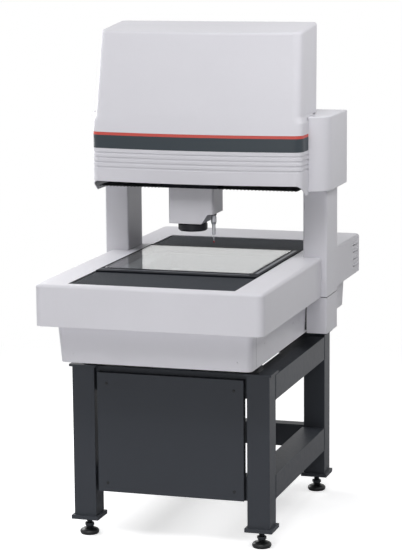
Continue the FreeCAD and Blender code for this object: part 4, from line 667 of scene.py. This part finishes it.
def add_inlays():
    low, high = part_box("stage_frame")
    glass_low, glass_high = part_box("stage_glass")
    batch = Batch()
    bottom, top, cut = high.z - 0.5 * MM, high.z + 0.25 * MM, 0.2 * MM
    batch.block((glass_high.x + 10 * MM, glass_low.y, bottom), (high.x - 11 * MM, glass_high.y, top), cut)
    middle, half = (low.y + glass_low.y) / 2, 4 * MM
    batch.block((glass_low.x, middle - half, bottom), (glass_high.x, middle + half, top), cut)
    batch.build("stage_inlays", inlay_grey, "stage", "stage_black")


add_inlays()

# Light-emitting domes in two rings under the ring light

LENS_AXIS = (-0.036, -0.070)
DOME_RINGS = ((36.5 * MM, 24), (42.5 * MM, 28))
DOME_PROFILE = [(2 * MM, -0.2 * MM), (2 * MM, 0.4 * MM), (1.5 * MM, 1.2 * MM), (0.7 * MM, 1.6 * MM)]


def add_ring_domes():
    middle = Vector((*LENS_AXIS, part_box("ring_light")[0].z))
    batch = Batch()
    for radius, count in DOME_RINGS:
        for place in ring(radius, 0, count):
            batch.turned(DOME_PROFILE, facing(middle + Vector(place), (0, 0, -1)), 10)
    batch.build("ring_light_domes", diffuser, "z_head", "ring_black")


add_ring_domes()

# Levelling feet: studs with their pin, thread, nut and washer

FOOT_TAGS = [f"{row}_{side}" for row in ("front", "rear") for side, sign in SIDES]
THREAD_PITCH = 2.5 * MM
THREAD_DEPTH = 1.2 * MM
THREAD_STEPS = 6
STUD_RADIUS = 10 * MM
PIN_RADIUS = 6 * MM
PIN_LENGTH = 12.3 * MM
WASHER_RADIUS = 13.5 * MM
WASHER_THICK = 1.5 * MM
NUT_HALF = 15 * MM
NUT_HIGH = 13 * MM
NUT_SHAPE = ((0.88, WASHER_THICK), (1, 3 * MM), (1, 11.2 * MM), (0.88, 12.6 * MM), (0.66, NUT_HIGH))
TO_CORNER = 1 / math.cos(math.pi / 6)


def middle_of(node):
    """Moves a piece from the Z axis onto a node's own."""
    low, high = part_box(node)
    return Matrix.Translation(((low.x + high.x) / 2, (low.y + high.y) / 2, 0))


def threaded(low, high, segments=32):
    """Points and faces of the stud's thread about the Z axis, open at the bottom."""
    points = []
    rows = int((high - low) / THREAD_PITCH * THREAD_STEPS) + 1
    for i in range(rows):
        z = low + (high - low) * i / (rows - 1)
        for k in range(segments):
            angle = 2 * math.pi * k / segments
            phase = (z / THREAD_PITCH - k / segments) % 1
            radius = STUD_RADIUS - THREAD_DEPTH * abs(2 * phase - 1)
            points.append((radius * math.cos(angle), radius * math.sin(angle), z))
    faces = grid_faces(rows, segments, closed=True)
    faces.append(tuple(range((rows - 1) * segments, rows * segments)))
    return points, faces


def add_foot_studs():
    for tag in FOOT_TAGS:
        node = f"foot_stud_{tag}"
        low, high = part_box(node)
        shift = middle_of(node)
        batch = Batch()
        nut_low = low.z + PIN_LENGTH
        batch.add(*threaded(nut_low + NUT_HIGH, high.z - MM), shift)
        batch.turned([(PIN_RADIUS, low.z), (PIN_RADIUS, nut_low + 0.1 * MM)], shift)
        batch.turned([(WASHER_RADIUS, nut_low), (WASHER_RADIUS, nut_low + WASHER_THICK)], shift)
        nut = [(part * NUT_HALF * TO_CORNER, nut_low + height) for part, height in NUT_SHAPE]
        batch.turned(nut, shift, 6)
        stud = batch.build(f"threaded_stud_{tag}", stud_steel, f"foot_screw_{tag}", "foot_steel")
        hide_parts(node)


add_foot_studs()


def add_lock_nuts():
    """Nuts under the legs' foot plates that lock the studs."""
    plate_low = min(low.z for low, high in solid_boxes("stand_legs"))
    batch = Batch()
    corner = 15.5 * MM * TO_CORNER
    bore = STUD_RADIUS + 0.4 * MM
    rings = ((bore, 8.2), (0.86 * corner, 8.2), (corner, 7), (corner, 1), (0.9 * corner, 0), (bore, 0))
    sixth, segments = math.pi / 3, 24
    points = []
    for radius, drop in rings:
        for k in range(segments):
            angle = 2 * math.pi * k / segments
            from_flat = (angle + sixth / 2) % sixth - sixth / 2
            reach = radius if radius == bore else radius / (TO_CORNER * math.cos(from_flat))
            points.append((reach * math.cos(angle), reach * math.sin(angle), plate_low - drop * MM))
    for tag in FOOT_TAGS:
        batch.add(points, grid_faces(len(rings), segments, closed=True), middle_of(f"foot_stud_{tag}"))
    batch.build("lock_nuts", stud_steel, "machine_frame", "foot_steel")


add_lock_nuts()


# The pad's outline from its sole up: share of its radius, height in mm
PAD_SHAPE = ((0.90, 0), (0.90, 1.2), (0.86, 1.6), (0.86, 2.2), (0.94, 2.6), (0.98, 4.5), (1.0, 8),
             (0.98, 12), (0.90, 15.5), (0.76, 18.2), (0.60, 20), (0.48, 22), (0.42, 24.5))
SOCKET_RADIUS = PIN_RADIUS + 0.1 * MM
SOCKET_DEPTH = 12.1 * MM


def add_foot_pads():
    """Thick rounded pads with a grooved sole and a socket for the stud's pin."""
    for tag in FOOT_TAGS:
        node = f"foot_pad_{tag}"
        low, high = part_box(node)
        wide, top = (high.x - low.x) / 2, high.z
        profile = [(wide * part, height * MM) for part, height in PAD_SHAPE]
        profile += [(12 * MM, top - 1 * MM), (11.4 * MM, top), (SOCKET_RADIUS, top),
                    (SOCKET_RADIUS, top - SOCKET_DEPTH)]
        batch = Batch()
        batch.turned(profile, middle_of(node), 40)
        made = batch.build(f"rounded_pad_{tag}", foot_black, f"foot_{tag}", "foot_iron")
        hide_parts(node)


add_foot_pads()

# Angle ledges on the inner faces of the side rails


LEDGE_REACH, LEDGE_THICK, LEDGE_LIP = 36 * MM, 5 * MM, 30 * MM


def add_rail_ledges():
    batch = Batch()
    for low, high in solid_boxes("stand_side_rails"):
        side = -1 if low.x < 0 else 1
        wall = high.x if side < 0 else low.x
        edge = wall - side * LEDGE_REACH
        inner = edge + side * LEDGE_THICK
        below = high.z - LEDGE_THICK
        lip = high.z - LEDGE_LIP
        section = [(wall, high.z), (edge, high.z), (edge, lip), (inner, lip), (inner, below), (wall, below)]
        if side > 0:
            section.reverse()
        batch.add([(x, y, z) for y in (low.y, high.y) for x, z in section], capped(2, len(section)))
    batch.build("rail_ledges", stand_paint, "machine_frame", "stand_paint")


add_rail_ledges()

# Bellows: one pleated sheet each, between the frame and what moves


SHEET_THICK = 0.8 * MM


def pleats(name, start, end, side_low, side_high, top, depth, count, along, down=1):
    """A pleated sheet from its moving end at start to its fixed end.

    Its pleats follow each other along axis 0 or 1. down is 1 where the ridges point up, else -1.
    """
    rows = []
    steps = 8
    for k in range(count * steps + 1):
        part = k / steps % 1
        ridge = abs(math.cos(math.pi * part))
        height = top - depth * (1 - ridge ** 0.6)
        rows.append((start + (end - start) * k / (count * steps), height))
    hems = ((0, 2 * MM), (2 * MM, 0.6 * MM), (10 * MM, 0))
    bands = [side_low + inset for inset, _ in hems] + [side_high - inset for inset, _ in reversed(hems)]
    drops = [drop for _, drop in hems] + [drop for _, drop in reversed(hems)]
    points = []
    for layer in (0, 1):
        for run, height in rows:
            for side, drop in zip(bands, drops):
                z = height - down * (drop + layer * SHEET_THICK)
                points.append((run, side, z) if along == 0 else (side, run, z))
    columns = len(bands)
    one = grid_faces(len(rows), columns, closed=False)
    offset = len(rows) * columns
    faces = one + [tuple(offset + k for k in reversed(face)) for face in one]
    last = len(rows) - 1
    for i in range(last):
        for j in (0, columns - 1):
            a, b = i * columns + j, (i + 1) * columns + j
            faces.append((a, b, offset + b, offset + a))
    for j in range(columns - 1):
        for i in (0, last):
            a, b = i * columns + j, i * columns + j + 1
            faces.append((a, b, offset + b, offset + a))
    return new_object(name, mesh_of(name, points, faces), bellows_cloth, None)


# Depth and number of the pleats: the table's two sheets, then the head's left and right sheets
TABLE_PLEAT, TABLE_PLEATS = 4 * MM, 22
HEAD_PLEAT, LEFT_PLEATS, RIGHT_PLEATS = 2 * MM, 18, 22


def add_bellows():
    widen, lift = 3 * MM, 3 * MM
    low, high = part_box("bellows_front")
    sheet = (low.x - widen, high.x + widen, high.z + lift, TABLE_PLEAT, TABLE_PLEATS, 1)
    front = pleats("bellows_sheet_front", high.y, low.y, *sheet)
    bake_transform(front)
    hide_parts("bellows_front")
    low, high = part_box("bellows_rear")
    rear = pleats("bellows_sheet_rear", low.y, high.y, *sheet)
    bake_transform(rear)
    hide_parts("bellows_rear")
    low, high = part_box("x_bellows_left")
    sheet = (low.y, high.y, low.z, HEAD_PLEAT, LEFT_PLEATS, 0, -1)
    left = pleats("bellows_sheet_left", high.x, low.x, *sheet)
    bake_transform(left)
    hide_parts("x_bellows_left")
    low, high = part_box("x_bellows_right")
    sheet = (low.y, high.y, low.z, HEAD_PLEAT, RIGHT_PLEATS, 0, -1)
    right = pleats("bellows_sheet_right", low.x, high.x, *sheet)
    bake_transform(right)
    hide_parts("x_bellows_right")


add_bellows()

# Light and background

WHITE = (1, 1, 1, 1)
AMBIENT = (0.95, 0.97, 1, 1)
AMBIENT_LEVEL = 0.02

# Soft lamps: name, place, target, size and power in watts
LAMPS = (
    ("key", (-2.6, -4.4, 4.6), (0, 0, 0.9), (3.0, 2.4), 28),
    ("overhead", (0.2, -3.2, 5.4), (0, -0.3, 0.9), (3.0, 2.0), 148),
    ("front", (0.5, -6.5, 1.6), (0, 0, 1.0), (3.0, 2.0), 54),
    ("low", (0.4, -4.0, 0.75), (0, 0, 0.85), (2.0, 1.0), 8),
    ("side_high", (1.7, 0.1, 2.5), (0.4, 0, 1.6), (0.9, 0.9), 13),
    ("side_head", (1.4, -0.9, 2.2), (0.38, -0.1, 1.55), (0.6, 0.6), 3),
    ("left", (-2.3, -0.4, 2.7), (-0.2, -0.2, 0.93), (1.4, 1.4), 12),
    ("left_rear", (-2.3, 0.7, 2.3), (-0.1, 0.3, 0.93), (1.4, 1.4), 30),
    ("rear_left", (-2.0, 1.7, 1.42), (0, 0.3, 0.94), (1.2, 0.4), 24),
)


def add_lamps():
    for name, place, target, size, power in LAMPS:
        data = bpy.data.lights.new(name, "AREA")
        data.shape = "RECTANGLE"
        data.size, data.size_y = size
        data.energy = power
        lamp = bpy.data.objects.new(name, data)
        bpy.context.scene.collection.objects.link(lamp)
        aim = (Vector(target) - Vector(place)).to_track_quat("-Z", "Y")
        lamp.matrix_world = Matrix.Translation(Vector(place)) @ aim.to_matrix().to_4x4()


def seen_as_background(tree, path):
    """1 for the rays that look at the background, straight, by reflection or through glass."""
    seen = path.outputs["Is Camera Ray"]
    for ray in ("Is Glossy Ray", "Is Transmission Ray"):
        either = tree.nodes.new("ShaderNodeMath")
        either.operation = "MAXIMUM"
        tree.links.new(seen, either.inputs[0])
        tree.links.new(path.outputs[ray], either.inputs[1])
        seen = either.outputs[0]
    return seen


def add_world():
    """White where it is seen, and next to no light of its own."""
    world = bpy.data.worlds.new("studio")
    bpy.context.scene.world = world
    world.use_nodes = True
    tree = world.node_tree
    background = tree.nodes["Background"]
    white = tree.nodes.new("ShaderNodeBackground")
    white.inputs["Color"].default_value = WHITE
    white.inputs["Strength"].default_value = 1
    background.inputs["Color"].default_value = AMBIENT
    background.inputs["Strength"].default_value = AMBIENT_LEVEL
    seen = seen_as_background(tree, tree.nodes.new("ShaderNodeLightPath"))
    blend = tree.nodes.new("ShaderNodeMixShader")
    tree.links.new(seen, blend.inputs["Fac"])
    tree.links.new(background.outputs[0], blend.inputs[1])
    tree.links.new(white.outputs[0], blend.inputs[2])
    tree.links.new(blend.outputs[0], tree.nodes["World Output"].inputs["Surface"])


FLOOR_REACH = 90
FLOOR_LIFT = 0.6
SHADOW_NEAR, SHADOW_FAR = 1.0, 3.2


def add_floor():
    """A pale studio floor that is plain white away from the machine and keeps its shadow near it."""
    surface = Surface("studio_floor")
    surface.join(surface.mix(surface.noise(4), (0.86, 0.86, 0.87, 1), (0.89, 0.89, 0.90, 1)), "Base Color")
    surface.shader.inputs["Roughness"].default_value = 0.8
    distance = surface.add("ShaderNodeVectorMath", {0: surface.place}, operation="LENGTH").outputs["Value"]
    far = surface.range(distance, 0, 1, SHADOW_NEAR, SHADOW_FAR)
    path = surface.add("ShaderNodeLightPath")
    seen = seen_as_background(surface.material.node_tree, path)
    share = surface.add("ShaderNodeMath", {0: far, 1: seen}, operation="MULTIPLY").outputs[0]
    white = surface.add("ShaderNodeEmission", {"Color": WHITE, "Strength": 1}).outputs[0]
    lift = surface.add("ShaderNodeMath", {0: path.outputs["Is Camera Ray"], 1: FLOOR_LIFT},
                       operation="MULTIPLY").outputs[0]
    glow = surface.add("ShaderNodeEmission", {"Color": WHITE, "Strength": lift}).outputs[0]
    near = surface.add("ShaderNodeAddShader", {0: surface.shader.outputs[0], 1: glow}).outputs[0]
    blend = surface.add("ShaderNodeMixShader", {0: share, 1: near, 2: white})
    surface.links.new(blend.outputs[0], surface.output.inputs["Surface"])
    corners = [(-FLOOR_REACH, -FLOOR_REACH, 0), (FLOOR_REACH, -FLOOR_REACH, 0),
               (FLOOR_REACH, FLOOR_REACH, 0), (-FLOOR_REACH, FLOOR_REACH, 0)]
    sheet = mesh_of("floor", corners, [(0, 1, 2, 3)])
    new_object("floor", sheet, surface.material, None, smooth=False)


add_world()
add_floor()
add_lamps()

bpy.context.scene.view_settings.view_transform = "Standard"
